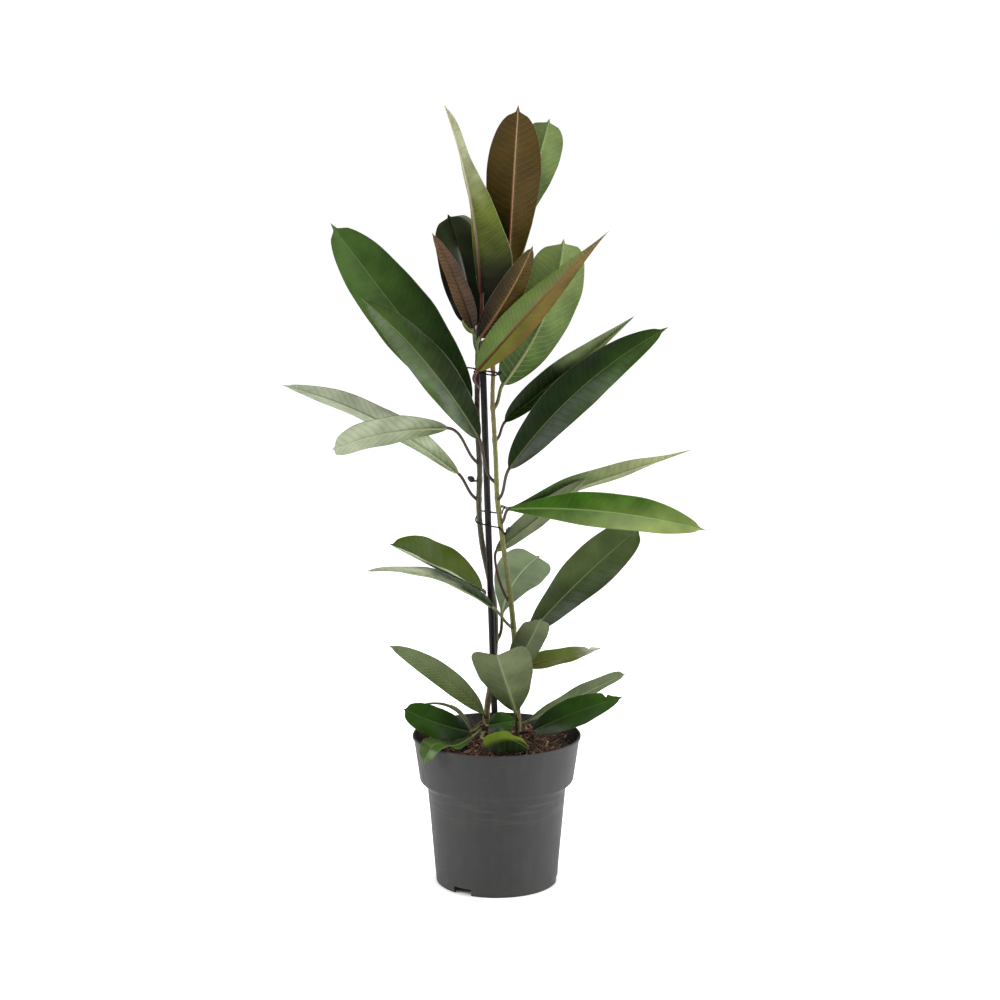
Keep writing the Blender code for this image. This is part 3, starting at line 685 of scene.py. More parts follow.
def add_object(name: str, data: ID) -> Object:
    """A new object of the scene, at the origin.

    Args:
        name: its name.
        data: its mesh, light or camera.

    Returns:
        The object.
    """
    made = bpy.data.objects.new(name, data)
    bpy.context.scene.collection.objects.link(made)
    return made


def new_mesh(name: str, points: np.ndarray, faces: list, dressing: Dressing) -> Mesh:
    """A smooth-shaded mesh.

    Args:
        name: the mesh's name.
        points: its points, in millimetres.
        faces: its faces.
        dressing: its materials.

    Returns:
        The mesh.
    """
    mesh = bpy.data.meshes.new(name)
    mesh.from_pydata((np.asarray(points) * MM).tolist(), [], faces)
    for material in dressing:
        mesh.materials.append(material)
    mesh.shade_smooth()
    return mesh


def turn_outwards(mesh: Mesh) -> None:
    """Makes the faces of a closed mesh point outwards.

    Args:
        mesh: the mesh.
    """
    solid = bmesh.new()
    solid.from_mesh(mesh)
    bmesh.ops.recalc_face_normals(solid, faces=solid.faces)
    solid.to_mesh(mesh)
    solid.free()


def ring_faces(count: int, sides: int, first: int = 0) -> list[list[int]]:
    """The faces between rings of points, ring by ring.

    Args:
        count: how many rings there are.
        sides: how many points a ring has.
        first: the number of the first point.

    Returns:
        The faces.
    """
    i, j = np.divmod(np.arange((count - 1) * sides), sides)
    here, ahead = first + i * sides, (j + 1) % sides
    return np.stack([here + j, here + sides + j, here + sides + ahead, here + ahead], axis=-1).tolist()


def round_path(
    path: np.ndarray, right: np.ndarray, over: np.ndarray, angles: np.ndarray, radii: np.ndarray,
) -> np.ndarray:
    """Rings of points round a path, from its ways right and over at each point."""
    ring = np.cos(angles)[None, :, None] * right[:, None] + np.sin(angles)[None, :, None] * over[:, None]
    return path[:, None] + ring * radii[:, None, None]


def turned_mesh(name: str, rings: list[list[Place]], poles: list[Place], dressing: Dressing) -> Mesh:
    """A mesh of rings round an upright axis, with a fan to each pole.

    Args:
        name: the mesh's name.
        rings: the points of each ring, in millimetres.
        poles: the first end's middle, and the last end's where the mesh is closed.
        dressing: its materials.

    Returns:
        The mesh.
    """
    count, steps = len(rings), len(rings[0])
    points = [poles[0], *(point for ring in rings for point in ring), *poles[1:]]
    faces = [[0, 1 + k, 1 + (k + 1) % steps] for k in range(steps)] + ring_faces(count, steps, 1)
    if len(poles) == 1:
        return new_mesh(name, points, faces, dressing)
    last = 1 + (count - 1) * steps
    faces += [[last + k, len(points) - 1, last + (k + 1) % steps] for k in range(steps)]
    mesh = new_mesh(name, points, faces, dressing)
    turn_outwards(mesh)
    return mesh


def store(mesh: Mesh, name: str, vectors: np.ndarray) -> None:
    """Stores a vector for each of the mesh's points."""
    layer = mesh.attributes.new(name, "FLOAT_VECTOR", "POINT")
    layer.data.foreach_set("vector", np.ascontiguousarray(vectors, np.float32).ravel())


def settle_piece(piece: Object, slot: Slot, *nodes: str) -> None:
    """Says what a finished piece rides on, and hides the CAD nodes that it stands for.

    Args:
        piece: the finished piece.
        slot: the record's slot, which is not used.
        *nodes: the CAD nodes that it replaces.
    """
    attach(piece, BODY)
    if nodes:
        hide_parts(*nodes)
    LOG.info("%s: %d faces", piece.name, len(piece.data.polygons))


class ShapeTree(Graph):
    """A geometry node tree with named inputs."""

    KINDS = {
        float: "NodeSocketFloat", int: "NodeSocketInt", Material: "NodeSocketMaterial",
        Object: "NodeSocketObject",
    }

    def __init__(self, name: str, inputs: dict[str, type]) -> None:
        """Args:
            name: the tree's name.
            inputs: the kind of each named input.
        """
        super().__init__(bpy.data.node_groups.new(name, "GeometryNodeTree"))
        self.tree.interface.new_socket("Geometry", in_out="INPUT", socket_type="NodeSocketGeometry")
        self.tree.interface.new_socket("Geometry", in_out="OUTPUT", socket_type="NodeSocketGeometry")
        for label, kind in inputs.items():
            self.tree.interface.new_socket(label, in_out="INPUT", socket_type=self.KINDS[kind])

    def close(self, geometry: NodeSocket) -> NodeTree:
        """Ends the tree in real geometry with the material that comes in.

        Args:
            geometry: the shape.

        Returns:
            The finished tree.
        """
        real = self.add("GeometryNodeRealizeInstances", {"Geometry": geometry})
        smooth = self.add("GeometryNodeSetShadeSmooth", {"Geometry": real.outputs[0]})
        inputs = {"Geometry": smooth.outputs[0], "Material": self.given("Material")}
        dressed = self.add("GeometryNodeSetMaterial", inputs)
        way_out = self.tree.nodes.new("NodeGroupOutput")
        self.feed(way_out.inputs[0], dressed.outputs[0])
        return self.tree


def bake(piece: Object) -> None:
    """Makes what a piece's modifiers show its plain mesh, and removes them.

    Args:
        piece: the piece.
    """
    graph = bpy.context.evaluated_depsgraph_get()
    made = bpy.data.meshes.new_from_object(piece.evaluated_get(graph), depsgraph=graph)
    piece.modifiers.clear()
    piece.data = made


def grow(name: str, source: Mesh, tree: NodeTree, values: dict) -> Object:
    """Runs a geometry tree on a mesh and keeps the result as a plain mesh.

    Args:
        name: the piece's name.
        source: the mesh that the tree works on.
        tree: the tree.
        values: its inputs by name.

    Returns:
        The piece.
    """
    piece = add_object(name, source)
    modifier = piece.modifiers.new("shape", "NODES")
    modifier.node_group = tree
    for item in tree.interface.items_tree:
        if item.in_out == "INPUT" and item.name in values:
            modifier[item.identifier] = values[item.name]
    piece.update_tag()
    bake(piece)
    piece.data.name = name
    return piece


@cache
def sweep_tree() -> NodeTree:
    """A tree that sweeps a round section along a chain of points, as wide as each point says.

    Returns:
        The tree.
    """
    tree = ShapeTree("sweep along path", {"Sides": int, "Material": Material})
    path = tree.add("GeometryNodeMeshToCurve", {"Mesh": tree.given("Geometry")})
    circle = tree.add("GeometryNodeCurvePrimitiveCircle", {"Resolution": tree.given("Sides"), "Radius": 1.0})
    width = tree.add("GeometryNodeInputNamedAttribute", {"Name": "girth"}, data_type="FLOAT")
    inputs = {"Curve": path.outputs[0], "Profile Curve": circle.outputs[0], "Scale": width.outputs[0]}
    swept = tree.add("GeometryNodeCurveToMesh", {**inputs, "Fill Caps": True})
    return tree.close(swept.outputs[0])


@cache
def twist_tree() -> NodeTree:
    """A tree that twists two strands round each other along a chain of points.

    Returns:
        The tree.
    """
    kinds = {"Strand": float, "Pitch": float, "Sides": int, "Material": Material}
    tree = ShapeTree("twisted strands", kinds)
    path = tree.add("GeometryNodeMeshToCurve", {"Mesh": tree.given("Geometry")})
    length = Value(tree, tree.add("GeometryNodeSplineParameter").outputs["Length"])
    turns = length / tree.number("Pitch") * (2 * math.pi)
    tilted = tree.add("GeometryNodeSetCurveTilt", {"Curve": path.outputs[0], "Tilt": turns})
    inputs = {"Resolution": tree.given("Sides"), "Radius": tree.given("Strand")}
    circle = tree.add("GeometryNodeCurvePrimitiveCircle", inputs)
    pair = tree.add("GeometryNodeJoinGeometry")
    for way in (-0.9, 0.9):
        shift = tree.vector(tree.number("Strand") * way, 0.0, 0.0)
        moved = tree.add("GeometryNodeTransform", {"Geometry": circle.outputs[0], "Translation": shift})
        tree.feed(pair.inputs[0], moved.outputs[0])
    inputs = {"Curve": tilted.outputs[0], "Profile Curve": pair.outputs[0], "Fill Caps": True}
    return tree.close(tree.add("GeometryNodeCurveToMesh", inputs).outputs[0])


@cache
def scatter_tree() -> NodeTree:
    """A tree that lays small shapes over a surface, each turned, tipped and sized at random.

    Returns:
        The tree.
    """
    kinds = {
        "Shape A": Object, "Shape B": Object, "Shape C": Object, "Gap": float, "Density": float,
        "Smallest": float, "Largest": float, "Tip": float, "Seed": int, "Material": Material,
    }
    tree = ShapeTree("scatter on surface", kinds)
    seed = {"Seed": tree.given("Seed")}
    sources = {"Mesh": "Geometry", "Distance Min": "Gap", "Density Max": "Density", "Seed": "Seed"}
    inputs = {label: tree.given(source) for label, source in sources.items()}
    spread = tree.add("GeometryNodeDistributePointsOnFaces", inputs, distribute_method="POISSON")
    shapes = tree.add("GeometryNodeJoinGeometry")
    for label in ("Shape C", "Shape B", "Shape A"):
        shape = tree.add("GeometryNodeObjectInfo", {"Object": tree.given(label), "As Instance": True})
        tree.feed(shapes.inputs[0], shape.outputs["Geometry"])
    pick = tree.add("FunctionNodeRandomValue", {4: 0, 5: 2, **seed}, data_type="INT")
    tip = tree.number("Tip")
    low = tree.vector(tip * -1.0, tip * -1.0, -math.pi)
    high = tree.vector(tip, tip, math.pi)
    turn = tree.add("FunctionNodeRandomValue", {0: low, 1: high, **seed}, data_type="FLOAT_VECTOR")
    limits = {2: tree.given("Smallest"), 3: tree.given("Largest")}
    size = tree.add("FunctionNodeRandomValue", {**limits, **seed}, data_type="FLOAT")
    inputs = {0: spread.outputs["Rotation"], 1: turn.outputs[0]}
    turned = tree.add("FunctionNodeRotateRotation", inputs, rotation_space="LOCAL")
    inputs = {
        "Points": spread.outputs[0], "Instance": shapes.outputs[0], "Pick Instance": True,
        "Instance Index": pick.outputs[2], "Rotation": turned.outputs[0], "Scale": size.outputs[1],
    }
    laid = tree.add("GeometryNodeInstanceOnPoints", inputs)
    tint = tree.add("FunctionNodeRandomValue", {2: 0.0, 3: 1.0, "Seed": TINT_SEED}, data_type="FLOAT")
    inputs = {"Geometry": laid.outputs[0], "Name": "tint", "Value": tint.outputs[1]}
    kept = tree.add("GeometryNodeStoreNamedAttribute", inputs, data_type="FLOAT", domain="INSTANCE")
    return tree.close(kept.outputs[0])


def chain(name: str, points: np.ndarray, girths: np.ndarray) -> Mesh:
    """A chain of points for a sweep, with the sweep's radius at each.

    Args:
        name: the mesh's name.
        points: the points, in millimetres.
        girths: the radii, in millimetres.

    Returns:
        The mesh.
    """
    mesh = bpy.data.meshes.new(name)
    edges = [(k, k + 1) for k in range(len(points) - 1)]
    mesh.from_pydata((np.asarray(points) * MM).tolist(), edges, [])
    layer = mesh.attributes.new("girth", "FLOAT", "POINT")
    layer.data.foreach_set("value", (np.asarray(girths) * MM).astype(np.float32))
    return mesh


def swept_piece(name: str, points: list, girths: list, sides: int, material: Material) -> Object:
    """A round piece that follows a path, as thick as each point says."""
    return grow(name, chain(name, points, girths), sweep_tree(), {"Sides": sides, "Material": material})


@dataclass(frozen=True)
class BarkSkin:
    """The finish of a stem: its colours from the soil up, with cracks, pores and scars."""

    name: str
    foot: Colour
    middle: Colour
    top: Colour
    low: float
    high: float
    roughness: float = 0.5

    @cache
    def material(self) -> Material:
        """The bark's material.

        Returns:
            The material.
        """
        skin = Skin(f"bark {self.name}", self.roughness, 0.05, 0.3)
        spot = skin.spot()
        x, y, z = skin.split(spot)
        wander = (skin.cloud(spot, 0.04, 3.0) - 0.5) * 90.0
        ground = skin.blend(skin.ramp(z + wander, self.low, self.low + 90.0), self.foot, self.middle)
        ground = skin.blend(skin.ramp(z + wander, self.high - 110.0, self.high), ground, self.top)
        streaks = skin.cloud(skin.vector(x * 1.6, y * 1.6, z * 0.09), 1.0, 4.0)
        ground = skin.shaded(ground, skin.ramp(streaks, 0.3, 0.7, 0.6, 1.35))
        pores = skin.ramp(skin.cells(skin.vector(x, y, z * 0.45), 0.32, "F1"), 0.08, 0.2, 1.0, 0.0)
        ground = skin.blend(pores * 0.4, ground, (0.3, 0.24, 0.15))
        rings = skin.ramp(skin.cells(skin.vector(x * 0.02, y * 0.02, z), 0.16), 0.0, 0.06, 1.0, 0.0)
        ground = skin.blend(rings * 0.3, ground, (0.05, 0.035, 0.02))
        height = streaks * 0.6 + pores * 0.5 - rings * 0.4
        return skin.finish(ground, streaks * 0.12 + self.roughness, height, 0.3)


@dataclass(frozen=True)
class BlackSkin:
    """The finish of black plastic and coated wire."""

    name: str
    colour: Colour
    dusty: Colour
    roughness: float

    @cache
    def material(self) -> Material:
        """The black material, with dust and fine scuffs.

        Returns:
            The material.
        """
        skin = Skin(self.name, self.roughness, 0.03, 0.2, 0.25)
        scuffs, dust, grain = skin.use(wear(), {"Spot": skin.spot(), "Scale": 3.0})
        ground = skin.blend(dust, self.colour, self.dusty)
        ground = skin.blend(scuffs * 0.25, ground, (0.1, 0.09, 0.08))
        return skin.finish(ground, dust * 0.15 + self.roughness, grain, 0.08)


@dataclass(frozen=True)
class PotSkin:
    """The finish of the pot: dark grey satin plastic with dust, scuffs and water marks."""

    colour: Colour = (0.0405, 0.042, 0.0405)
    worn: Colour = (0.068, 0.07, 0.065)
    # Painted shade: the inside is painted darker than the outside plastic
    inner: Colour = (0.012, 0.012, 0.012)
    roughness: float = 0.42

    @cache
    def outside(self) -> Material:
        """The material of the pot's outside.

        Returns:
            The material.
        """
        skin = Skin("pot plastic", self.roughness, 0.0, 0.3, 0.2)
        spot = skin.spot()
        scuffs, dust, grain = skin.use(wear(), {"Spot": spot, "Scale": 1.0})
        x, y, z = skin.split(spot)
        angle = skin.calc("ARCTAN2", y, x)
        drips = skin.cloud(skin.vector(angle * 9.0, 0.0, z * 0.012), 1.0, 4.0)
        bands = skin.cloud(skin.vector(angle * 1.3, 0.0, z * 0.22), 1.0, 3.0)
        bands = skin.ramp(bands, 0.45, 0.75)
        bands = bands * skin.ramp(skin.calc("ABSOLUTE", z - 108.0), 6.0, 20.0, 1.0, 0.0)
        ground = skin.blend(dust * 0.3, self.colour, self.worn)
        ground = skin.blend(skin.ramp(drips, 0.5, 0.8, 0.0, 0.3), ground, self.worn)
        ground = skin.blend(bands * 0.9, ground, self.worn)
        ground = skin.blend(scuffs * 0.3, ground, (0.16, 0.16, 0.155))
        bloom = skin.ramp(z + (dust - 0.5) * 12.0, 2.0, 16.0, 0.2, 0.0)
        ground = skin.blend(bloom, ground, (0.09, 0.085, 0.075))
        rough = dust * 0.14 + scuffs * 0.1 + drips * 0.08 + self.roughness
        return skin.finish(ground, rough, grain * 0.35 + scuffs * 0.4 + drips * 0.2 + bands, 0.12)

    @cache
    def inside(self) -> Material:
        """The material of the pot's inside, painted darker than the outside for the shade inside the pot,
        with dried soil above the soil line.

        Returns:
            The material.
        """
        skin = Skin("pot inside", 0.5)
        spot = skin.spot()
        _, dust, _ = skin.use(wear(), {"Spot": spot, "Scale": 2.0})
        z = skin.split(spot)[2]
        crumbs = skin.ramp(skin.cloud(spot, 0.5, 5.0), 0.52, 0.6) * skin.ramp(z, 174.0, 187.0, 1.0, 0.0)
        ground = skin.blend(dust * 0.4, self.inner, (0.05, 0.048, 0.045))
        ground = skin.blend(crumbs, ground, (0.06, 0.03, 0.018))
        return skin.finish(ground, dust * 0.2 + 0.45, crumbs + dust * 0.2, 0.4)


@dataclass(frozen=True)
class CrumbSkin:
    """The finish of the soil, its chips and its fibres."""

    name: str
    dark: Colour
    light: Colour
    accent: Colour
    scale: float
    depth: float
    tinted: bool = True

    @cache
    def material(self) -> Material:
        """The crumbly material, whose colour differs from crumb to crumb, with painted shade in the gaps
        between the bed's lumps.

        Returns:
            The material.
        """
        skin = Skin(self.name, 0.85)
        spot = skin.spot()
        grain = skin.cloud(spot, self.scale, 6.0)
        flecks = skin.cloud(spot, self.scale * 3.2, 3.0)
        lumps = skin.ramp(skin.cells(spot, self.scale * 0.6), 0.0, 0.25)
        ground = skin.blend(skin.ramp(grain, 0.3, 0.7), self.dark, self.light)
        if self.tinted:
            tint = Value(skin, skin.add("ShaderNodeAttribute", attribute_name="tint").outputs["Fac"])
            ground = skin.blend(skin.ramp(tint, 0.45, 1.0), ground, self.accent)
            ground = skin.shaded(ground, skin.ramp(tint, 0.0, 0.35, 0.35, 1.0))
        else:
            ground = skin.blend(skin.ramp(flecks, 0.62, 0.72), ground, self.accent)
            # Painted shade: near black in the gaps between the lumps
            ground = skin.blend(skin.ramp(lumps, 0.0, 0.4, 0.85, 0.0), ground, (0.006, 0.004, 0.003))
        return skin.finish(ground, flecks * 0.1 + 0.8, grain + lumps * 0.6, self.depth)


@dataclass(frozen=True)
class StemLine:
    """A stem's course: the points of its middle from foot to tip, and its radius at both ends."""

    node: str
    points: tuple[Place, ...]
    foot_radius: float
    top_radius: float

    def centre(self, height: float) -> np.ndarray:
        """The middle of the stem at this height, on a smooth curve through its points.

        Args:
            height: the height over the floor.

        Returns:
            The point.
        """
        points = np.array(self.points, float)
        heights = points[:, 2]
        slopes = np.gradient(points[:, :2], heights, axis=0)
        k = int(np.clip(np.searchsorted(heights, height) - 1, 0, len(heights) - 2))
        span = heights[k + 1] - heights[k]
        t = (height - heights[k]) / span
        near = points[k, :2] * (2 * t**3 - 3 * t**2 + 1) + slopes[k] * span * (t**3 - 2 * t**2 + t)
        far = points[k + 1, :2] * (3 * t**2 - 2 * t**3) + slopes[k + 1] * span * (t**3 - t**2)
        return np.array([*(near + far), height])

    def radius(self, height: float) -> float:
        """The stem's radius at this height: it tapers evenly.

        Args:
            height: the height over the floor.

        Returns:
            The radius.
        """
        low, high = self.points[0][2], self.points[-1][2]
        t = float(np.clip((height - low) / (high - low), 0, 1))
        return self.foot_radius + (self.top_radius - self.foot_radius) * t

    @property
    def top(self) -> float:
        """The height of the stem's last point."""
        return self.points[-1][2]


LEFT = StemLine(
    "stem_left",
    (
        (-14, 26, 115), (-14, 26, 178), (-12, 26, 215), (-6, 25, 255), (-2, 25, 300), (-3, 25, 345),
        (-10, 26, 385), (-18, 26, 425), (-22, 25, 470), (-21, 23, 520), (-23, 20, 560), (-24, 19, 607),
        (-23, 20, 650), (-22, 17, 698),
    ),
    4.2,
    3.0,
)
RIGHT = StemLine(
    "stem_right",
    (
        (27, 20, 115), (27, 20, 178), (26, 19, 222), (24, 17, 270), (21, 14, 321), (15, 8, 377),
        (8, 3, 428), (4, 1, 460), (1, -1, 485), (-1, -3, 535), (-3, -4, 572), (-5, -4, 609), (-4, -3, 645),
    ),
    4.0,
    2.6,
)


@dataclass(frozen=True)
class Nick:
    """A torn place in a blade's edge: where along it, on which side, how deep and how long."""

    share: float
    side: int
    depth: float
    length: float


@dataclass(frozen=True)
class Roll:
    """A stretch of a blade's edge that rolls over the upper face."""

    side: int
    start: float
    end: float
    length: float
    turn: float
    ease: float = 0.2


@dataclass(frozen=True)
class Leaf:
    """One leaf with its stalk, in millimetres and degrees.

    foot is the height where the stalk leaves the stem, base and tip are the ends of the blade, and up
    is roughly where the upper face looks. arch and sweep bow the midrib towards the upper face and the
    right edge, most at peak. fold lifts each half, and curl bends it on to the edge. round_base and
    round_tip are low where that end is blunt. drip is the share of the blade that its narrow drip tip
    takes up, and drip_width how wide that is. quilt is the rise between side veins quilt_gap apart.
    leave is the way the stalk first goes, seen from above, where that isn't straight to the blade.
    stretch and settle widen the stalk's bends at the stem and at the blade.
    """

    name: str
    line: StemLine
    foot: float
    base: Place
    tip: Place
    up: Place
    width: float
    upper: Upper
    under: Under
    stalk: Stalk
    slot: Slot = Slot.LEAF
    arch: float = 0.0
    sweep: float = 0.0
    peak: float = 0.5
    fold: float = 16.0
    curl: float = -12.0
    round_base: float = 0.6
    round_tip: float = 0.7
    drip: float = 0.035
    drip_width: float = 0.05
    leave: tuple[float, ...] = ()
    stretch: float = 1.0
    settle: float = 1.0
    nicks: tuple[Nick, ...] = ()
    roll: Roll | None = None
    quilt: float = 0.08
    quilt_gap: float = 17.0

    # The shape that all leaves share
    THICKNESS = 0.8
    EDGE_THINNING = 0.5
    LEAST_WIDTH = 0.6
    EDGE_WAVE = 1.3
    EDGE_TURNS = 2.4
    HALVES_SHIFT = 1.9
    RAGGED = 0.025
    RAGGED_TURNS = 8
    SLIM_WIDTH = 6.0
    CALM_WIDTH = 14.0
    WAVY_WIDTH = 50.0
    QUILT_SLANT = 0.4
    DRIFT = 0.5
    DRIFT_TURNS = 1.3
    DRIP_POINT = 0.5
    DRIP_START = 0.5
    DRIP_EASE = 1.3
    DRIP_FADE = 1.6
    JOIN = 1.6
    ROLL_LIMIT = 1.4
    RIB_STEPS = (0.35, 0.7, 1.05, 1.5)
    SIDE_STEPS = (0.1, 0.2, 0.32, 0.45, 0.58, 0.7, 0.81, 0.9, 0.96, 1.0)
    LARGE_RINGS = 92
    SMALL_RINGS = 52
    LARGE_LENGTH = 110.0
    TIP_RINGS = 7
    STALK_RINGS = 14
    STALK_END = 0.96
    STALK_SUNK = 0.8
    STALK_RISE = (0.85, 0.5)

    # The midrib's half width, groove and keel at the blade's foot and tip, as shares of the stalk's radius
    RIB = (0.9, 0.2)
    RIB_LIMIT = 0.3
    GROOVE = (0.3, 0.12)
    KEEL = (1.7, 0.3)
    KEEL_REACH = 1.25

    def phase(self) -> float:
        """A number of the leaf's own that sets its waves apart from the next leaf's."""
        return self.foot + self.tip[0]

    def stalk_radius(self) -> float:
        """The stalk is thicker under a wider blade."""
        return 1.2 + self.width / 80

    def length(self) -> float:
        """The blade's length from base to tip."""
        return float(np.linalg.norm(np.subtract(self.tip, self.base)))

    def taper(self, ends: tuple[float, float], s: np.ndarray) -> np.ndarray:
        """A size of the midrib at s = 0 to 1."""
        return (ends[0] + (ends[1] - ends[0]) * s) * self.stalk_radius()

    def axes(self) -> tuple[np.ndarray, np.ndarray]:
        """The straight way from base to tip, and the way up across it."""
        ahead = unit(np.subtract(self.tip, self.base))
        return ahead, unit(self.up - np.dot(self.up, ahead) * ahead)

    def midrib(self, s: np.ndarray) -> np.ndarray:
        """The points of the midrib at s = 0 to 1.

        Args:
            s: the shares of the blade's length.

        Returns:
            One point for each.
        """
        base, chord = np.array(self.base, float), np.subtract(self.tip, self.base)
        ahead, up = self.axes()
        power = self.peak / (1 - self.peak)
        bow = (s / self.peak) ** power * (1 - s) / (1 - self.peak)
        bent = up * self.arch + np.cross(ahead, up) * self.sweep
        return base + chord * s[:, None] + bent * bow[:, None]

    def frames(self, s: np.ndarray) -> tuple[np.ndarray, np.ndarray, np.ndarray, np.ndarray]:
        """The midrib's points with its ahead, up and right ways.

        Args:
            s: the shares of the blade's length.

        Returns:
            Points, ahead, up and right, one row for each share.
        """
        low, high = np.clip(s - 0.002, 0, 1), np.clip(s + 0.002, 0, 1)
        ahead = unit(self.midrib(high) - self.midrib(low))
        _, up = self.axes()
        up = unit(up - (ahead @ up)[:, None] * ahead)
        return self.midrib(s), ahead, up, np.cross(ahead, up)

    def roll_out(self, s: np.ndarray, x: np.ndarray, side: int) -> tuple[np.ndarray, np.ndarray, np.ndarray]:
        """Rolls the edge over the upper face where the leaf has a rolled edge.

        Args:
            s: the shares of the blade's length.
            x: the distances from the midrib, by ring and step.
            side: -1 or 1.

        Returns:
            The new distance, the lift and the turn, by ring and step.
        """
        if self.roll is None or self.roll.side != side:
            return x, 0 * x, 0 * x
        roll = self.roll
        width = x[:, -1:]
        window = np.clip((s - roll.start) / roll.ease, 0, 1) * np.clip((roll.end - s) / roll.ease, 0, 1)
        window = window * window * (3 - 2 * window)
        length = window[:, None] * np.minimum(roll.length, self.ROLL_LIMIT * width)
        radius = length / math.radians(roll.turn)
        flat = width - radius
        stretched = x * (flat + length) / width
        turn = np.clip(stretched - flat, 0, None) / np.maximum(radius, 0.001)
        return np.minimum(stretched, flat) + radius * np.sin(turn), radius * (1 - np.cos(turn)), turn

    def half_width(self, s: np.ndarray, side: int) -> np.ndarray:
        """Half the blade's width: an oval with an uneven edge, and past it the drip tip.

        Args:
            s: the shares of the blade's length.
            side: -1 for the left half and 1 for the right.

        Returns:
            One half width for each.
        """
        p, q = self.round_base, self.round_tip
        widest = p / (p + q)
        along = np.minimum(s / (1 - self.drip), 1.0)
        oval = self.width / 2 * (along / widest) ** p * ((1 - along) / (1 - widest)) ** q
        uneven = [noise.noise(Vector((t * self.RAGGED_TURNS, self.phase(), side))) for t in s]
        oval = oval * (1 + self.RAGGED * np.array(uneven))
        for nick in self.nicks:
            if nick.side == side:
                oval = oval * (1 - nick.depth * np.exp(-(((s - nick.share) / nick.length) ** 2)))
        tip = np.zeros_like(s)
        if self.drip:
            t = (1 - s) / self.drip
            ease = np.clip((t - self.DRIP_START) / self.DRIP_EASE, 0, 1)
            oval = oval * ease * ease * (3 - 2 * ease)
            tongue = self.drip_width * self.width * t**1.5 * np.exp(-t / self.DRIP_FADE)
            tip = tongue + self.DRIP_POINT * np.minimum(t, 1.0)
        stalk = self.stalk_radius() * (1 - s) + self.LEAST_WIDTH * (1 - s**8)
        return sum(part**self.JOIN for part in (oval, tip, stalk)) ** (1 / self.JOIN)

    def stations(self) -> np.ndarray:
        """Where the blade's rings are: closest at both ends of the oval, with more on a drip tip.

        Returns:
            The shares of the blade's length.
        """
        count = self.LARGE_RINGS if self.length() > self.LARGE_LENGTH else self.SMALL_RINGS
        steps = np.array([0.35, *range(1, count)])
        oval = (0.5 - 0.5 * np.cos(np.pi * steps / count)) * (1 - self.drip * 0.9)
        return np.array([*oval, *(1 - self.drip * 0.9 * np.linspace(0.97, 0.06, self.TIP_RINGS))])

    def side_points(self, s: np.ndarray, side: int) -> tuple[np.ndarray, ...]:
        """The blade's measures on one side of the midrib.

        Args:
            s: the shares of the blade's length.
            side: -1 or 1.

        Returns:
            Distance from the midrib, its share of the half width, way out, rise, slope and the midrib's
            half width, by ring and step.
        """
        width = self.half_width(s, side)
        rib = np.minimum(self.taper(self.RIB, s), self.RIB_LIMIT * width)[:, None]
        inner = rib * np.array(self.RIB_STEPS)
        outer = inner[:, -1:] + (width[:, None] - inner[:, -1:]) * np.array(self.SIDE_STEPS)
        x = np.hstack([inner, outer])
        share = x / width[:, None]
        halfway = math.radians(self.fold) + math.radians(self.curl) * share / 2
        soft = 0.5 * rib
        rise = np.hypot(x * np.sin(halfway), soft) - soft
        rise = np.where(halfway < 0, -rise, rise)
        calm = min(self.width / self.WAVY_WIDTH, 1.0) * np.minimum(width / self.CALM_WIDTH, 1.0)
        swell = (np.sin(np.pi * s) * calm)[:, None]
        phase = self.phase() + (self.HALVES_SHIFT if side > 0 else 0.0)
        turns = 2 * np.pi * s[:, None]
        rise = rise + self.EDGE_WAVE * swell * share**2 * np.sin(self.EDGE_TURNS * turns + phase)
        along = s[:, None] * self.length()
        quilt = np.sin(2 * np.pi * (along - self.QUILT_SLANT * x) / self.quilt_gap + phase)
        drift = np.sin(self.DRIFT_TURNS * turns + 2 * phase)
        hump = 4 * share * (1 - share)
        rise = rise + swell * hump * (self.quilt * quilt + self.DRIFT * drift)
        rolled, lift, turn = self.roll_out(s, x, side)
        out = rolled * np.cos(halfway) - lift * np.sin(halfway)
        rise = rise + (rolled - x) * np.sin(halfway) + lift * np.cos(halfway)
        flare = 1 - np.exp(-x / rib)
        slope = (math.radians(self.fold) + math.radians(self.curl) * share) * flare + turn
        return x, share, out, rise, slope, rib

    def blade(self, s: np.ndarray) -> np.ndarray:
        """The rings of the blade: over its upper face from left to right, and back below.

        Args:
            s: the shares of the blade's length.

        Returns:
            The point, its measures (along, across) and its shares (along, across, rib) in one row of nine
            numbers, by ring and place.
        """
        centre, _, up, right = self.frames(s)
        slim = np.minimum(self.half_width(s, 1) / self.SLIM_WIDTH, 1.0)
        groove_depth, keel_depth = self.taper(self.GROOVE, s) * slim, self.taper(self.KEEL, s) * slim
        along = s[:, None]
        faces: dict[tuple[int, int], np.ndarray] = {}
        for side in (-1, 1):
            x, share, out, rise, slope, rib = self.side_points(s, side)
            half = self.THICKNESS / 2 * (1 - self.EDGE_THINNING * share**2) * slim[:, None]
            groove = groove_depth[:, None] * np.exp(-((x / rib) ** 2))
            keel = keel_depth[:, None] * np.clip(1 - (x / rib / self.KEEL_REACH) ** 2, 0, 1) ** 1.5
            zero = 0 * x
            measures = [zero + along * self.length(), side * x, zero, zero + along, share, x / rib]
            for face, lift in ((1, half - groove), (-1, -half - keel)):
                across = (side * (out - np.sin(slope) * lift))[..., None]
                raised = (rise + np.cos(slope) * lift)[..., None]
                place = centre[:, None] + right[:, None] * across + up[:, None] * raised
                faces[side, face] = np.concatenate([place, np.stack(measures, axis=-1)], axis=-1)
        half = slim * self.THICKNESS / 2
        middle = np.stack([s * self.length(), 0 * s, 0 * s, s, 0 * s, 0 * s], axis=-1)
        top = np.hstack([centre + up * (half - groove_depth)[:, None], middle])
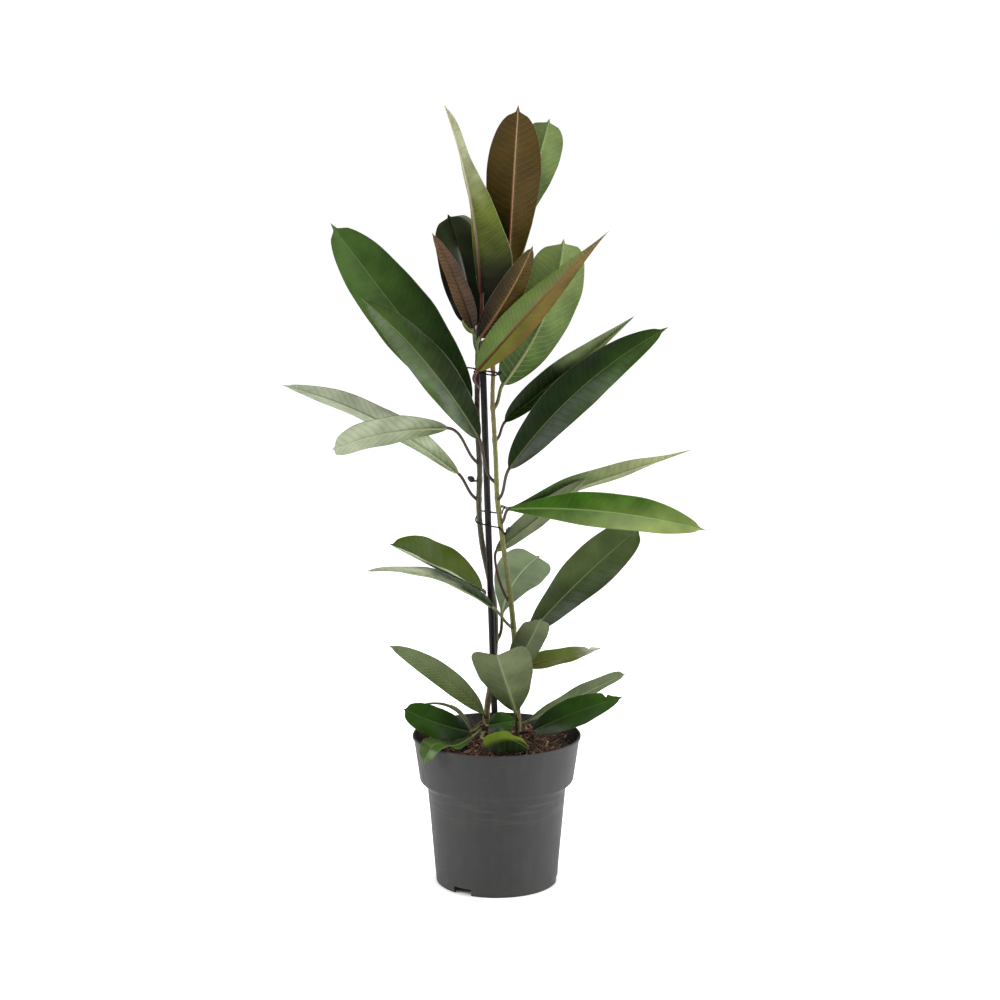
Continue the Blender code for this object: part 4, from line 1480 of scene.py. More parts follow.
        bottom = np.hstack([centre - up * (half + keel_depth)[:, None], middle])
        left_edge, right_edge = ((faces[side, 1][:, -1:] + faces[side, -1][:, -1:]) / 2 for side in (-1, 1))
        return np.concatenate([
            faces[-1, 1][:, ::-1], top[:, None], faces[1, 1], right_edge,
            faces[1, -1][:, ::-1], bottom[:, None], faces[-1, -1], left_edge,
        ], axis=1)

    def stalk_rings(self, sides: int) -> np.ndarray:
        """The rings of the stalk, from inside the stem to the blade.

        Args:
            sides: how many points a ring has, in the order of the blade's.

        Returns:
            Nine numbers for each point, as the blade's.
        """
        base, ahead, up, _ = (row[0] for row in self.frames(np.array([0.0])))
        radius = self.stalk_radius()
        centre = self.line.centre(self.foot)
        outward = unit(np.array([*(self.leave or (base - centre)[:2]), 0.0]))
        start = centre + outward * (self.line.radius(self.foot) - self.STALK_SUNK)
        leave = unit(outward * self.STALK_RISE[0] + np.array([0, 0, self.STALK_RISE[1]]))
        third = np.linalg.norm(base - start) / 3
        knots = [start, start + leave * third * self.stretch, base - ahead * third * self.settle, base]
        t = np.linspace(0, self.STALK_END, self.STALK_RINGS)
        weights = [(1 - t) ** 3, 3 * t * (1 - t) ** 2, 3 * t**2 * (1 - t), t**3]
        path = sum(np.outer(w, k) for w, k in zip(weights, knots))
        along = unit(np.gradient(np.vstack([path, base]), axis=0))[:-1]
        side = np.cross(ahead, up)
        right = unit(side - (along @ side)[:, None] * along)
        over = np.cross(right, along)
        half = sides // 2 - 1
        angles = np.radians([*np.linspace(173, 7, half), 0, *np.linspace(-7, -173, half), 180])
        swell = 1 + 0.3 * np.exp(-t / 0.07) + 0.12 * np.exp(-(1 - t) / 0.1)
        points = round_path(path, right, over, angles, radius * swell)
        zero = np.zeros((len(t), sides))
        back = zero + (t - 1)[:, None]
        measures = [back * third * 3, zero + angles * radius, zero, back, zero, zero]
        return np.concatenate([points, np.stack(measures, axis=-1)], axis=-1)

    def mesh(self) -> Mesh:
        """The whole leaf as one closed mesh, with its upper face, underside and stalk told apart.

        Returns:
            The mesh.
        """
        blade = self.blade(self.stations())
        sides = blade.shape[1]
        stalk = self.stalk_rings(sides)
        rows = np.vstack([*stalk, *blade])
        ends = rows[[0, -1]]
        ends[:, :3] = stalk[0].mean(axis=0)[:3], blade[-1].mean(axis=0)[:3]
        points, measure, share = np.split(np.vstack([rows, ends]), 3, axis=1)
        count = len(rows)
        last = count - sides
        faces = ring_faces(count // sides, sides)
        faces += [[n, (n + 1) % sides, count] for n in range(sides)]
        faces += [[last + (n + 1) % sides, last + n, count + 1] for n in range(sides)]
        dressing = [
            self.upper.value.material(f"leaf {self.upper.name.lower()} upper"),
            self.under.value.material(f"leaf {self.under.name.lower()} underside"),
            self.stalk.value.material(),
        ]
        mesh = new_mesh(self.name, points, faces, dressing)
        # Places in the dressing: 0 for the upper face, 1 for the underside and 2 for the stalk
        ring, place = np.divmod(np.arange(last), sides)
        below = (place >= sides // 2 - 1) & (place < sides - 1)
        index = np.where(ring < len(stalk), 2, np.where(below, 1, 0))
        ends_index = [2] * sides + [1] * sides
        mesh.polygons.foreach_set("material_index", np.array([*index, *ends_index], np.int32))
        store(mesh, "blade", measure)
        store(mesh, "blade_share", share)
        turn_outwards(mesh)
        return mesh

    def build(self) -> None:
        """Makes the leaf and puts it in the place of its CAD node."""
        settle_piece(add_object(f"{self.name}_blade", self.mesh()), self.slot, self.name)


U, N, K, S = Upper, Under, Stalk, Slot
LEAVES = (
    # The crown of the left stem
    Leaf("leaf_01", LEFT, 690, (-18, -4, 740), (-62, -45, 966), (1, 1, 0), 80, U.FRESH, N.LIME, K.RED,
         S.PALE, arch=13, fold=42, round_base=0.35, round_tip=1.75, drip=0.07, drip_width=0.12, quilt=0.4,
         quilt_gap=12.0),
    Leaf("leaf_02", LEFT, 684, (11, 22, 729), (26, -5, 965), (0, 1, 0.3), 68, U.DEEP, N.OLIVE, K.RED,
         S.YOUNG, fold=22, round_base=1.2, round_tip=0.6),
    Leaf("leaf_03", LEFT, 674, (24, 44, 800), (64, 28, 948), (-0.2, 1, 0.2), 56, U.MID, N.MOSS, K.OLIVE,
         S.PALE, round_base=1.3, round_tip=0.45),
    Leaf("leaf_04", LEFT, 660, (13, 58, 722), (46, 60, 829), (-1, -0.4, 0), 30, U.NIGHT, N.MOSS, K.BROWN,
         S.YOUNG, fold=45),
    Leaf("leaf_05", LEFT, 668, (-28, 27, 697), (-60, 50, 832), (0.3, -1, 0.5), 68, U.NIGHT, N.SAGE, K.RED,
         round_base=0.4, round_tip=0.35, sweep=5, roll=Roll(1, 0.5, 1.3, 27.0, 178.0, 0.3)),
    Leaf("leaf_06", LEFT, 672, (-30, -5, 697), (-77, -50, 816), (0.5, 1, 0.3), 27, U.NIGHT, N.BRONZE,
         K.GREEN, S.YOUNG, sweep=-5, round_base=0.45, quilt=0.8, quilt_gap=5.5),
    Leaf("leaf_07", LEFT, 652, (-20, -8, 686), (43, -75, 802), (0.2, 1, 0.4), 38, U.NIGHT, N.COPPER, K.GREEN,
         S.YOUNG, sweep=-4, fold=35, round_base=0.45, quilt=1.1, quilt_gap=6.5),
    Leaf("leaf_08", LEFT, 622, (-23, -27, 648), (133, -93, 822), (0, 1, 0.1), 52, U.FRESH, N.AMBER, K.RED,
         S.BRIGHT, sweep=2, fold=45, round_tip=1.5, drip=0),
    # The crown of the right stem
    Leaf("leaf_09", RIGHT, 600, (8, 5, 628), (80, -40, 808), (-0.3, 1, 0.3), 80, U.FRESH, N.MOSS, K.OLIVE,
         S.BRIGHT, sweep=-15, round_base=0.55, round_tip=0.35),
    # Large leaves of the middle
    Leaf("leaf_10", LEFT, 572, (-33, 14, 604), (-202, 20, 823), (0.5, -1, 0.3), 84, U.MID, N.PALE, K.GREEN,
         sweep=-2, round_tip=0.55),
    Leaf("leaf_11", RIGHT, 508, (-22, 0, 562), (-163, -45, 738), (0.5, -1, 0.3), 50, U.SHEEN, N.PALE,
         K.BROWN, sweep=11),
    Leaf("leaf_12", LEFT, 482, (-48, 20, 515), (-265, 5, 627), (0.25, 0.85, 1), 52, U.DEEP, N.PALE, K.BROWN,
         S.PALE, arch=18),
    Leaf("leaf_13", LEFT, 528, (-61, -5, 575), (-199, -60, 556), (0, 1, 0.6), 46, U.DEEP, N.PALE, K.BROWN,
         S.PALE, arch=12, round_tip=0.35),
    Leaf("leaf_14", RIGHT, 560, (11, 3, 582), (170, 38, 708), (0, -1, 0.6), 42, U.TWISTED, N.PALE, K.BROWN,
         fold=50, round_tip=1.15),
    Leaf("leaf_15", RIGHT, 487, (16, -18, 528), (206, -45, 703), (-0.3, -1, 0.5), 56, U.DEEP, N.PALE,
         K.BROWN, sweep=-16),
    Leaf("leaf_16", RIGHT, 474, (19, 30, 470), (244, 50, 540), (0, 0.8, 1), 44, U.DEEP, N.JADE, K.GREEN,
         S.PALE, fold=20, round_base=1.2, round_tip=1.5),
    Leaf("leaf_17", RIGHT, 457, (16, -8, 475), (256, -40, 454), (0, -1, 0.9), 52, U.FRESH, N.PALE, K.BROWN,
         S.BRIGHT, arch=18, round_base=0.9),
    Leaf("leaf_18", RIGHT, 357, (0, 13, 419), (112, 29, 507), (0, 1, 0.6), 32, U.DEEP, N.SAGE, K.RED,
         fold=20, leave=(-1, -0.3), stretch=0.45, settle=0.45),
    # Leaves of the lower middle
    Leaf("leaf_19", LEFT, 303, (7, 32, 337), (56, 140, 388), (0, -1, 0.9), 66, U.SAGE, N.PALE, K.OLIVE,
         S.PALE, sweep=-9, round_base=1.1, round_tip=0.4, drip=0.04),
    Leaf("leaf_20", RIGHT, 285, (34, 0, 309), (180, 15, 450), (-0.5, -1, 0.5), 62, U.GREY, N.PALE, K.OLIVE,
         sweep=-5, round_base=0.9, round_tip=0.45),
    Leaf("leaf_21", LEFT, 352, (-18, 0, 372), (-131, -40, 438), (0.4, -0.4, 1), 68, U.YOUNG, N.PALE, K.BROWN,
         S.BRIGHT, fold=40, round_tip=0.6, leave=(-1, 0.15), stretch=1.8),
    Leaf("leaf_22", RIGHT, 322, (-6, -8, 353), (-165, -30, 401), (0.2, 0.5, 1), 46, U.DEEP, N.DUSKY, K.OLIVE,
         S.PALE, arch=17, round_base=0.5),
    Leaf("leaf_23", RIGHT, 246, (17, -10, 262), (54, -65, 351), (0, 1, 0.6), 38, U.DEEP, N.SAGE, K.OLIVE,
         round_tip=0.3, nicks=(Nick(0.93, 1, 0.5, 0.05),)),
    Leaf("leaf_24", RIGHT, 203, (23, 5, 216), (0, -95, 314), (0, 1, 0.6), 80, U.DEEP, N.SAGE, K.OLIVE,
         fold=32, round_tip=0.25),
    Leaf("leaf_25", RIGHT, 248, (34, 14, 272), (131, -5, 300), (0, 1, 0.8), 34, U.FRESH, N.SPRING, K.OLIVE,
         S.BRIGHT, round_base=0.5, round_tip=0.9,
         nicks=(Nick(0.84, 1, 0.6, 0.02), Nick(0.9, -1, 0.6, 0.02), Nick(0.95, 1, 0.5, 0.015))),
    # Old leaves round the foot
    Leaf("leaf_26", LEFT, 203, (-18, 14, 213), (-135, 0, 302), (0, -1, 0.3), 28, U.STRIPED, N.PALE, K.OLIVE,
         sweep=8),
    Leaf("leaf_27", LEFT, 193, (-34, 5, 190), (-116, -20, 226), (0, -1, 0.5), 38, U.POLISHED, N.PALE,
         K.OLIVE, sweep=-3, fold=9, round_tip=0.45),
    Leaf("leaf_28", LEFT, 188, (-30, -10, 188), (-90, -82, 167), (0, -0.4, 1), 31, U.SHEEN, N.PALE, K.OLIVE,
         S.BRIGHT, arch=25, peak=0.8, round_base=0.9, round_tip=0.32),
    Leaf("leaf_29", LEFT, 197, (-32, 20, 190), (-97, 42, 214), (0, 0.3, 1), 24, U.SAGE, N.SAGE, K.OLIVE,
         arch=14),
    Leaf("leaf_30", LEFT, 193, (-10, 8, 197), (24, -1, 206), (0, -1, 0.5), 28, U.POLISHED, N.PALE, K.OLIVE),
    Leaf("leaf_31", LEFT, 183, (-15, -45, 195), (40, -68, 187), (0, -0.45, 1), 46, U.BRIGHT, N.SAGE, K.OLIVE,
         S.BRIGHT, arch=9, fold=6, curl=-56, round_base=0.35, round_tip=0.6, settle=0.5,
         nicks=(Nick(0.6, -1, 0.24, 0.17),)),
    Leaf("leaf_32", RIGHT, 195, (41, 25, 199), (163, 10, 264), (-0.2, -0.35, 1), 34, U.SILVER, N.PALE,
         K.OLIVE, S.PALE, fold=20, round_tip=0.42),
    Leaf("leaf_33", RIGHT, 184, (46, 5, 191), (156, -25, 242), (0, -1, 0.6), 38, U.POLISHED, N.PALE, K.RED,
         sweep=-3, nicks=(Nick(0.83, -1, 0.5, 0.016), Nick(0.92, -1, 0.45, 0.06))),
    # Small sheaths at the nodes
    Leaf("sheath_crown", LEFT, 682, (-29, 8, 690), (-42, 4, 706), (0, 1, 0.3), 9, U.FRESH, N.MOSS, K.GREEN,
         S.SHEATH, fold=25, drip=0),
    Leaf("sheath_side", LEFT, 505, (-28, 18, 506), (-36, 15, 511), (0, -1, 0.3), 7, U.NIGHT, N.BRONZE,
         K.BROWN, S.SHEATH, fold=25, drip=0),
)


@dataclass(frozen=True)
class Stem:
    """A woody shoot with a swelling under each leaf and scars where old leaves fell."""

    line: StemLine
    skin: BarkSkin
    step: float = 2.0
    sides: int = 20
    swelling: float = 0.55
    swelling_length: float = 4.0
    scar_gap: float = 27.0
    scar_depth: float = 0.28
    scar_sharpness: int = 40
    unevenness: float = 0.16
    cap: tuple[tuple[float, float], ...] = ((1.5, 0.92), (2.6, 0.7), (3.2, 0.35))

    def girth(self, height: float, nodes: list[float]) -> float:
        """The radius with its swellings and scars.

        Args:
            height: the height over the floor.
            nodes: the heights of the leaves' feet.

        Returns:
            The radius.
        """
        radius = self.line.radius(height)
        for node in nodes:
            radius += self.swelling * math.exp(-(((height - node) / self.swelling_length) ** 2))
        ring = math.cos(2 * math.pi * height / self.scar_gap)
        radius -= self.scar_depth * max(ring, 0.0) ** self.scar_sharpness
        return radius + self.unevenness * noise.noise(Vector((height / 7, self.line.foot_radius, 0)))

    def build(self) -> None:
        """Sweeps the stem along its course."""
        nodes = [leaf.foot for leaf in LEAVES if leaf.line is self.line]
        heights = np.arange(self.line.points[0][2], self.line.top, self.step)
        points = [self.line.centre(height) for height in heights]
        girths = [self.girth(height, nodes) for height in heights]
        ahead = unit(points[-1] - points[-3])
        for reach, share in self.cap:
            points.append(points[len(heights) - 1] + ahead * reach)
            girths.append(self.line.top_radius * share)
        piece = swept_piece(f"{self.line.node}_bark", points, girths, self.sides, self.skin.material())
        settle_piece(piece, Slot.STEM, self.line.node)


@dataclass(frozen=True)
class Bud:
    """The pointed bud at the top of a shoot."""

    line: StemLine
    tip: Place
    lean: Place
    girth: float
    skin: StalkSkin
    steps: int = 24
    sides: int = 16

    def build(self) -> None:
        """Sweeps the bud from inside the stem's top to its tip."""
        start = self.line.centre(self.line.top) - np.array([0.0, 0.0, 2.0])
        t = np.linspace(0, 1, self.steps)[:, None]
        points = start * (1 - t) ** 2 + 2 * (start + self.lean) * t * (1 - t) + np.array(self.tip) * t**2
        swell = (0.85 + 0.5 * np.sin(np.pi * np.sqrt(t))) * (1 - t**3) + 0.06
        girths = self.girth * swell[:, 0]
        piece = swept_piece(f"{self.line.node}_bud", points, girths, self.sides, self.skin.material())
        settle_piece(piece, Slot.STEM)


@dataclass(frozen=True)
class Stake:
    """The thin black rod between the stems, pushed into the soil."""

    radius: float = 4.0
    bevel: float = 1.0
    foot: tuple[float, float] = (-1.5, 16.0)
    top: Place = (-17.0, 12.0, 654.0)
    depth: float = 60.0
    step: float = 12.0
    sides: int = 28
    skin: BlackSkin = BlackSkin("stake plastic", (0.006, 0.005, 0.005), (0.02, 0.016, 0.013), 0.4)

    def centre(self, height: float) -> np.ndarray:
        """The rod's middle at this height. It leans above the soil only.

        Args:
            height: the height over the floor.

        Returns:
            The point.
        """
        foot, top = np.array([*self.foot, SOIL_TOP]), np.array(self.top)
        t = max((height - SOIL_TOP) / (top[2] - SOIL_TOP), 0.0)
        return np.array([*(foot + (top - foot) * t)[:2], height])

    def build(self) -> None:
        """Sweeps the rod, with a rounded top."""
        top = self.top[2]
        heights = [*np.arange(SOIL_TOP - self.depth, top - self.bevel, self.step), top - self.bevel]
        points = [self.centre(height) for height in heights]
        girths = [self.radius] * len(heights)
        for turn in np.radians([30, 60, 85]):
            points.append(self.centre(top - self.bevel * (1 - math.sin(turn))))
            girths.append(self.radius - self.bevel * (1 - math.cos(turn)))
        piece = swept_piece("stake_rod", points, girths, self.sides, self.skin.material())
        settle_piece(piece, Slot.STAKE, "stake")


@dataclass(frozen=True)
class Tie:
    """A twisted wire wound round the stems and the stake, with a bent tail at both ends."""

    node: str
    stake: Stake
    top: float
    drop: float
    turns: float
    start: float
    tails: tuple[Place, Place]
    wire: float = 0.8
    strand: float = 0.62
    pitch: float = 5.0
    steps: int = 72
    spacing: float = 0.45
    knot_radius: float = 1.9
    knot_turns: float = 2.5
    knot_length: float = 8.0
    sides: int = 8
    skin: BlackSkin = BlackSkin("wire coating", (0.009, 0.011, 0.009), (0.022, 0.026, 0.02), 0.35)

    def wrap(self, angle: float, height: float) -> np.ndarray:
        """Where the wire is at this angle from the middle of the posts that it holds.

        Args:
            angle: the angle, in radians.
            height: the height over the floor.

        Returns:
            The point.
        """
        way = np.array([math.cos(angle), math.sin(angle)])
        posts = [(line.centre(height), line.radius(height)) for line in (LEFT, RIGHT)]
        posts.append((self.stake.centre(height), self.stake.radius))
        middle, radius = max(posts, key=lambda post: post[0][:2] @ way + post[1])
        return np.array([*(middle[:2] + way * (radius + WIRE_CLEARANCE + self.wire)), height])

    def knot(self, start: np.ndarray, way: np.ndarray) -> np.ndarray:
        """A small coil where the wire's end is twisted up.

        Args:
            start: where it starts.
            way: where it goes.

        Returns:
            Its points.
        """
        ahead = unit(way)
        side = unit(np.cross(ahead, [0, 0, 1]))
        over = np.cross(side, ahead)
        t = np.linspace(0, 1, self.steps)[:, None]
        angle = 2 * math.pi * self.knot_turns * t
        radius = self.knot_radius * np.sin(np.pi * (0.1 + 0.9 * t))
        coil = (side * np.cos(angle) + over * np.sin(angle)) * radius
        return start + ahead * (t * self.knot_length) + coil

    def path(self) -> np.ndarray:
        """The wire's evenly spaced points, its tails included.

        Returns:
            The points.
        """
        count = int(self.turns * self.steps)
        start = math.radians(self.start)
        turns = [k / self.steps for k in range(count + 1)]
        wound = [self.wrap(start + 2 * math.pi * turn, self.top - self.drop * turn) for turn in turns]
        first, last = (np.array(tail, float) for tail in self.tails)
        knot = self.knot(wound[-1] + last * 0.5, last)
        points = np.array([wound[0] + first, wound[0] + first * 0.5, *wound, *knot])
        travel = np.concatenate([[0], np.cumsum(np.linalg.norm(np.diff(points, axis=0), axis=1))])
        even = np.arange(0, travel[-1], self.spacing)
        return np.stack([np.interp(even, travel, points[:, k]) for k in range(3)], axis=-1)

    def build(self) -> None:
        """Twists the wire's two strands along its path."""
        name = f"{self.node}_wire"
        points = self.path()
        sizes = {"Strand": self.strand * MM, "Pitch": self.pitch * MM, "Sides": self.sides}
        source = chain(name, points, np.ones(len(points)))
        piece = grow(name, source, twist_tree(), {**sizes, "Material": self.skin.material()})
        settle_piece(piece, Slot.TIE, self.node)


def round_corners(corners: list[tuple[float, float, float]], steps: int = 5) -> list[tuple[float, float]]:
    """Rounds the corners of a profile.

    Args:
        corners: out, height and rounding radius of each corner.
        steps: how many points an arc has.

    Returns:
        The profile's points.
    """
    points: list[tuple[float, float]] = []
    for k, (out, height, radius) in enumerate(corners):
        here = np.array([out, height])
        if radius == 0 or k in (0, len(corners) - 1):
            points.append((out, height))
            continue
        back = unit(np.array(corners[k - 1][:2]) - here)
        ahead = unit(np.array(corners[k + 1][:2]) - here)
        half = math.acos(float(np.clip(back @ ahead, -1, 1))) / 2
        reach = radius / math.tan(half)
        middle = here + unit(back + ahead) * radius / math.sin(half)
        start, end = here + back * reach - middle, here + ahead * reach - middle
        for t in np.linspace(0, 1, steps):
            points.append(tuple(middle + unit(start * (1 - t) + end * t) * radius))
    return points


@dataclass(frozen=True)
class Pot:
    """The thin moulded nursery pot."""

    height: float = 188.5
    rim_radius: float = 105.0
    wall: float = 1.8
    floor: float = 2.2
    collar_height: float = 59.0
    collar_foot_radius: float = 95.5
    step_height: float = 7.0
    wall_top_radius: float = 86.5
    wall_foot_radius: float = 76.0
    foot_round: float = 1.5
    channel_height: float = 9.0
    channel_inner: float = 45.0
    channel_slope: float = 5.0
    channel_outer: float = 72.5
    lip_height: float = 3.0
    lip_out: float = 0.8
    notch_count: int = 3
    notch_first: float = -124.0
    notch_width: float = 25.0
    notch_height: float = 8.5
    notch_inner: float = 68.0
    drain_radius: float = 5.0
    drain_place: float = 60.0
    steps: int = 192
    row_height: float = 4.0
    mid_wall: float = 64.0
    cut_margin: float = 6.0
    wave_reach: tuple[float, float] = (14.0, 184.0)
    dent: float = 0.35
    mould_rings: tuple[float, ...] = (118.0, 109.0, 101.0)
    mould_ring_width: float = 1.2
    mould_ring_depth: float = 0.4
    sharp_angle: float = 40.0
    rim_margin: float = 1.2
    wall_margin: float = 0.1
    level_slope: float = 0.5
    skin: PotSkin = PotSkin()

    @property
    def collar_foot(self) -> float:
        """The height of the collar's lower edge."""
        return self.height - self.collar_height

    @property
    def step_foot(self) -> float:
        """The height where the step under the collar meets the wall."""
        return self.collar_foot - self.step_height

    def outer_radius(self, height: float) -> float:
        """The pot's outer radius at this height.

        Args:
            height: the height over the floor.

        Returns:
            The radius.
        """
        rim = self.rim_radius - self.lip_out
        radii = [self.wall_foot_radius, self.wall_top_radius, self.collar_foot_radius, rim]
        return float(np.interp(height, [0.0, self.step_foot, self.collar_foot, self.height], radii))

    def inner_profile(self) -> list[tuple[float, float]]:
        """The pot's inside, from the middle of its floor to the rim.

        Returns:
            The profile's points.
        """
        floor_top = self.channel_height + self.floor
        corners = [
            (0.0, self.floor, 0.0),
            (self.channel_inner - 1.0, self.floor, 2.0),
            (self.channel_inner + self.channel_slope - 1.0, floor_top, 2.0),
            (self.outer_radius(floor_top) - self.wall, floor_top, 1.5),
            (self.outer_radius(self.step_foot) - self.wall, self.step_foot, 3.0),
            (self.collar_foot_radius - self.wall, self.collar_foot, 5.0),
            (self.outer_radius(self.height) - self.wall, self.height, 0.8),
        ]
        return round_corners(corners)[:-1]

    def outer_profile(self) -> list[tuple[float, float]]:
        """The pot's rim, outside and underside, to the middle of its foot.

        Returns:
            The profile's points.
        """
        lip_foot = self.height - self.lip_height
        corners = [
            (self.outer_radius(self.height) - self.wall, self.height - 4.0, 0.0),
            (self.outer_radius(self.height) - self.wall, self.height, 0.8),
            (self.rim_radius, self.height, 0.9),
            (self.rim_radius, lip_foot, 0.6),
            (self.outer_radius(lip_foot - 1.0), lip_foot - 1.0, 0.6),
            (self.collar_foot_radius + 0.3, self.collar_foot + 2.0, 5.5),
            (self.wall_top_radius, self.step_foot, 4.0),
            (self.outer_radius(self.mid_wall), self.mid_wall, 0.0),
            (self.wall_foot_radius, 0.0, self.foot_round),
            (self.channel_outer, 0.0, 0.6),
            (self.channel_outer - 0.4, self.channel_height, 0.6),
            (self.channel_inner + self.channel_slope, self.channel_height, 2.0),
            (self.channel_inner, 0.0, 2.0),
            (0.0, 0.0, 0.0),
        ]
        return round_corners(corners)[1:]

    def wall_rows(self, points: list[tuple[float, float]]) -> list[tuple[float, float]]:
        """Adds rows to the long stretches of the wall, so that it can wave.

        Args:
            points: the profile.

        Returns:
            The profile with more points.
        """
        rows = [points[0]]
        for (out, height), (last_out, last_height) in zip(points[1:], points):
            count = max(int(abs(height - last_height) / self.row_height), 1)
            for t in (k / count for k in range(1, count + 1)):
                rows.append((last_out + (out - last_out) * t, last_height + (height - last_height) * t))
        return rows

    def wave(self, angle: float, height: float) -> float:
        """How far the thin wall stands off its true round, with the faint rings of its mould.

        Args:
            angle: the place round the pot, in radians.
            height: the height over the floor.

        Returns:
            The distance, outwards.
        """
        x, y = math.cos(angle), math.sin(angle)
        soft = noise.noise(Vector((x * 1.4, y * 1.4, height / 55)))
        rings = sum(math.exp(-(((height - ring) / self.mould_ring_width) ** 2)) for ring in self.mould_rings)
        patch = max(noise.noise(Vector((x * 2, y * 2, 5.0))) + 0.35, 0.0)
        return self.dent * soft + self.mould_ring_depth * rings * patch

    def shell(self) -> Mesh:
        """The turned shell, closed at both poles.

        Returns:
            The mesh.
        """
        profile = self.wall_rows(self.inner_profile() + self.outer_profile())
        low, high = self.wave_reach
        angles = [2 * math.pi * k / self.steps for k in range(self.steps)]
        rings = []
        for out, height in profile[1:-1]:
            rings.append([])
            for angle in angles:
                radius = out + (self.wave(angle, height) if low < height < high else 0.0)
                rings[-1].append((radius * math.cos(angle), radius * math.sin(angle), height))
        poles = [(0.0, 0.0, profile[0][1]), (0.0, 0.0, profile[-1][1])]
        return turned_mesh("pot_shell", rings, poles, [self.skin.outside(), self.skin.inside()])

    def cutters(self) -> list[Object]:
        """The shapes of the notches in the foot and of the drain holes.

        Returns:
            One object for each.
        """
        made = []
        for k in range(self.notch_count):
            angle = math.radians(self.notch_first + 360 * k / self.notch_count)
            way = np.array([math.cos(angle), math.sin(angle)])
            length = self.wall_foot_radius + self.cut_margin - self.notch_inner
            bpy.ops.mesh.primitive_cube_add(size=MM)
            notch = bpy.context.object
            notch.scale = (length, self.notch_width, self.notch_height * 2)
            notch.location = (*(way * (self.notch_inner + length / 2) * MM), 0.0)
            notch.rotation_euler.z = angle
            depth = self.floor + self.cut_margin
            bpy.ops.mesh.primitive_cylinder_add(vertices=32, radius=self.drain_radius * MM, depth=depth * MM)
            drain = bpy.context.object
            drain.location = (*(way * self.drain_place * MM), (self.channel_height + self.floor / 2) * MM)
            made += [notch, drain]
        return made

    def build(self) -> None:
        """Turns the pot and cuts its notches and drains."""
        piece = add_object("pot_shell", self.shell())
        cutters = self.cutters()
        for cutter in cutters:
            cut = piece.modifiers.new(cutter.name, "BOOLEAN")
            cut.solver = "EXACT"
            cut.operation = "DIFFERENCE"
            cut.object = cutter
        bake(piece)
        made = piece.data
        for cutter in cutters:
            bpy.data.objects.remove(cutter)
        for face in made.polygons:
            middle, normal = face.center / MM, face.normal
            inwards = normal.x * middle.x + normal.y * middle.y < 0 or normal.z > self.level_slope
            below_rim = self.floor / 2 < middle.z < self.height - self.rim_margin
            within = math.hypot(middle.x, middle.y) < self.rim_radius - self.wall - self.wall_margin
            face.material_index = int(inwards and below_rim and within)
        made.shade_smooth()
        made.set_sharp_from_angle(angle=math.radians(self.sharp_angle))
        settle_piece(piece, Slot.POT, "pot")


@dataclass(frozen=True)
class Litter:
    """One kind of loose crumbs: their finish, spacing, sizes and tip, and their margin from the wall."""

    name: str
    skin: CrumbSkin
    gap: float
    density: float
    smallest: float
    largest: float
    tip: float
    margin: float
    seed: int


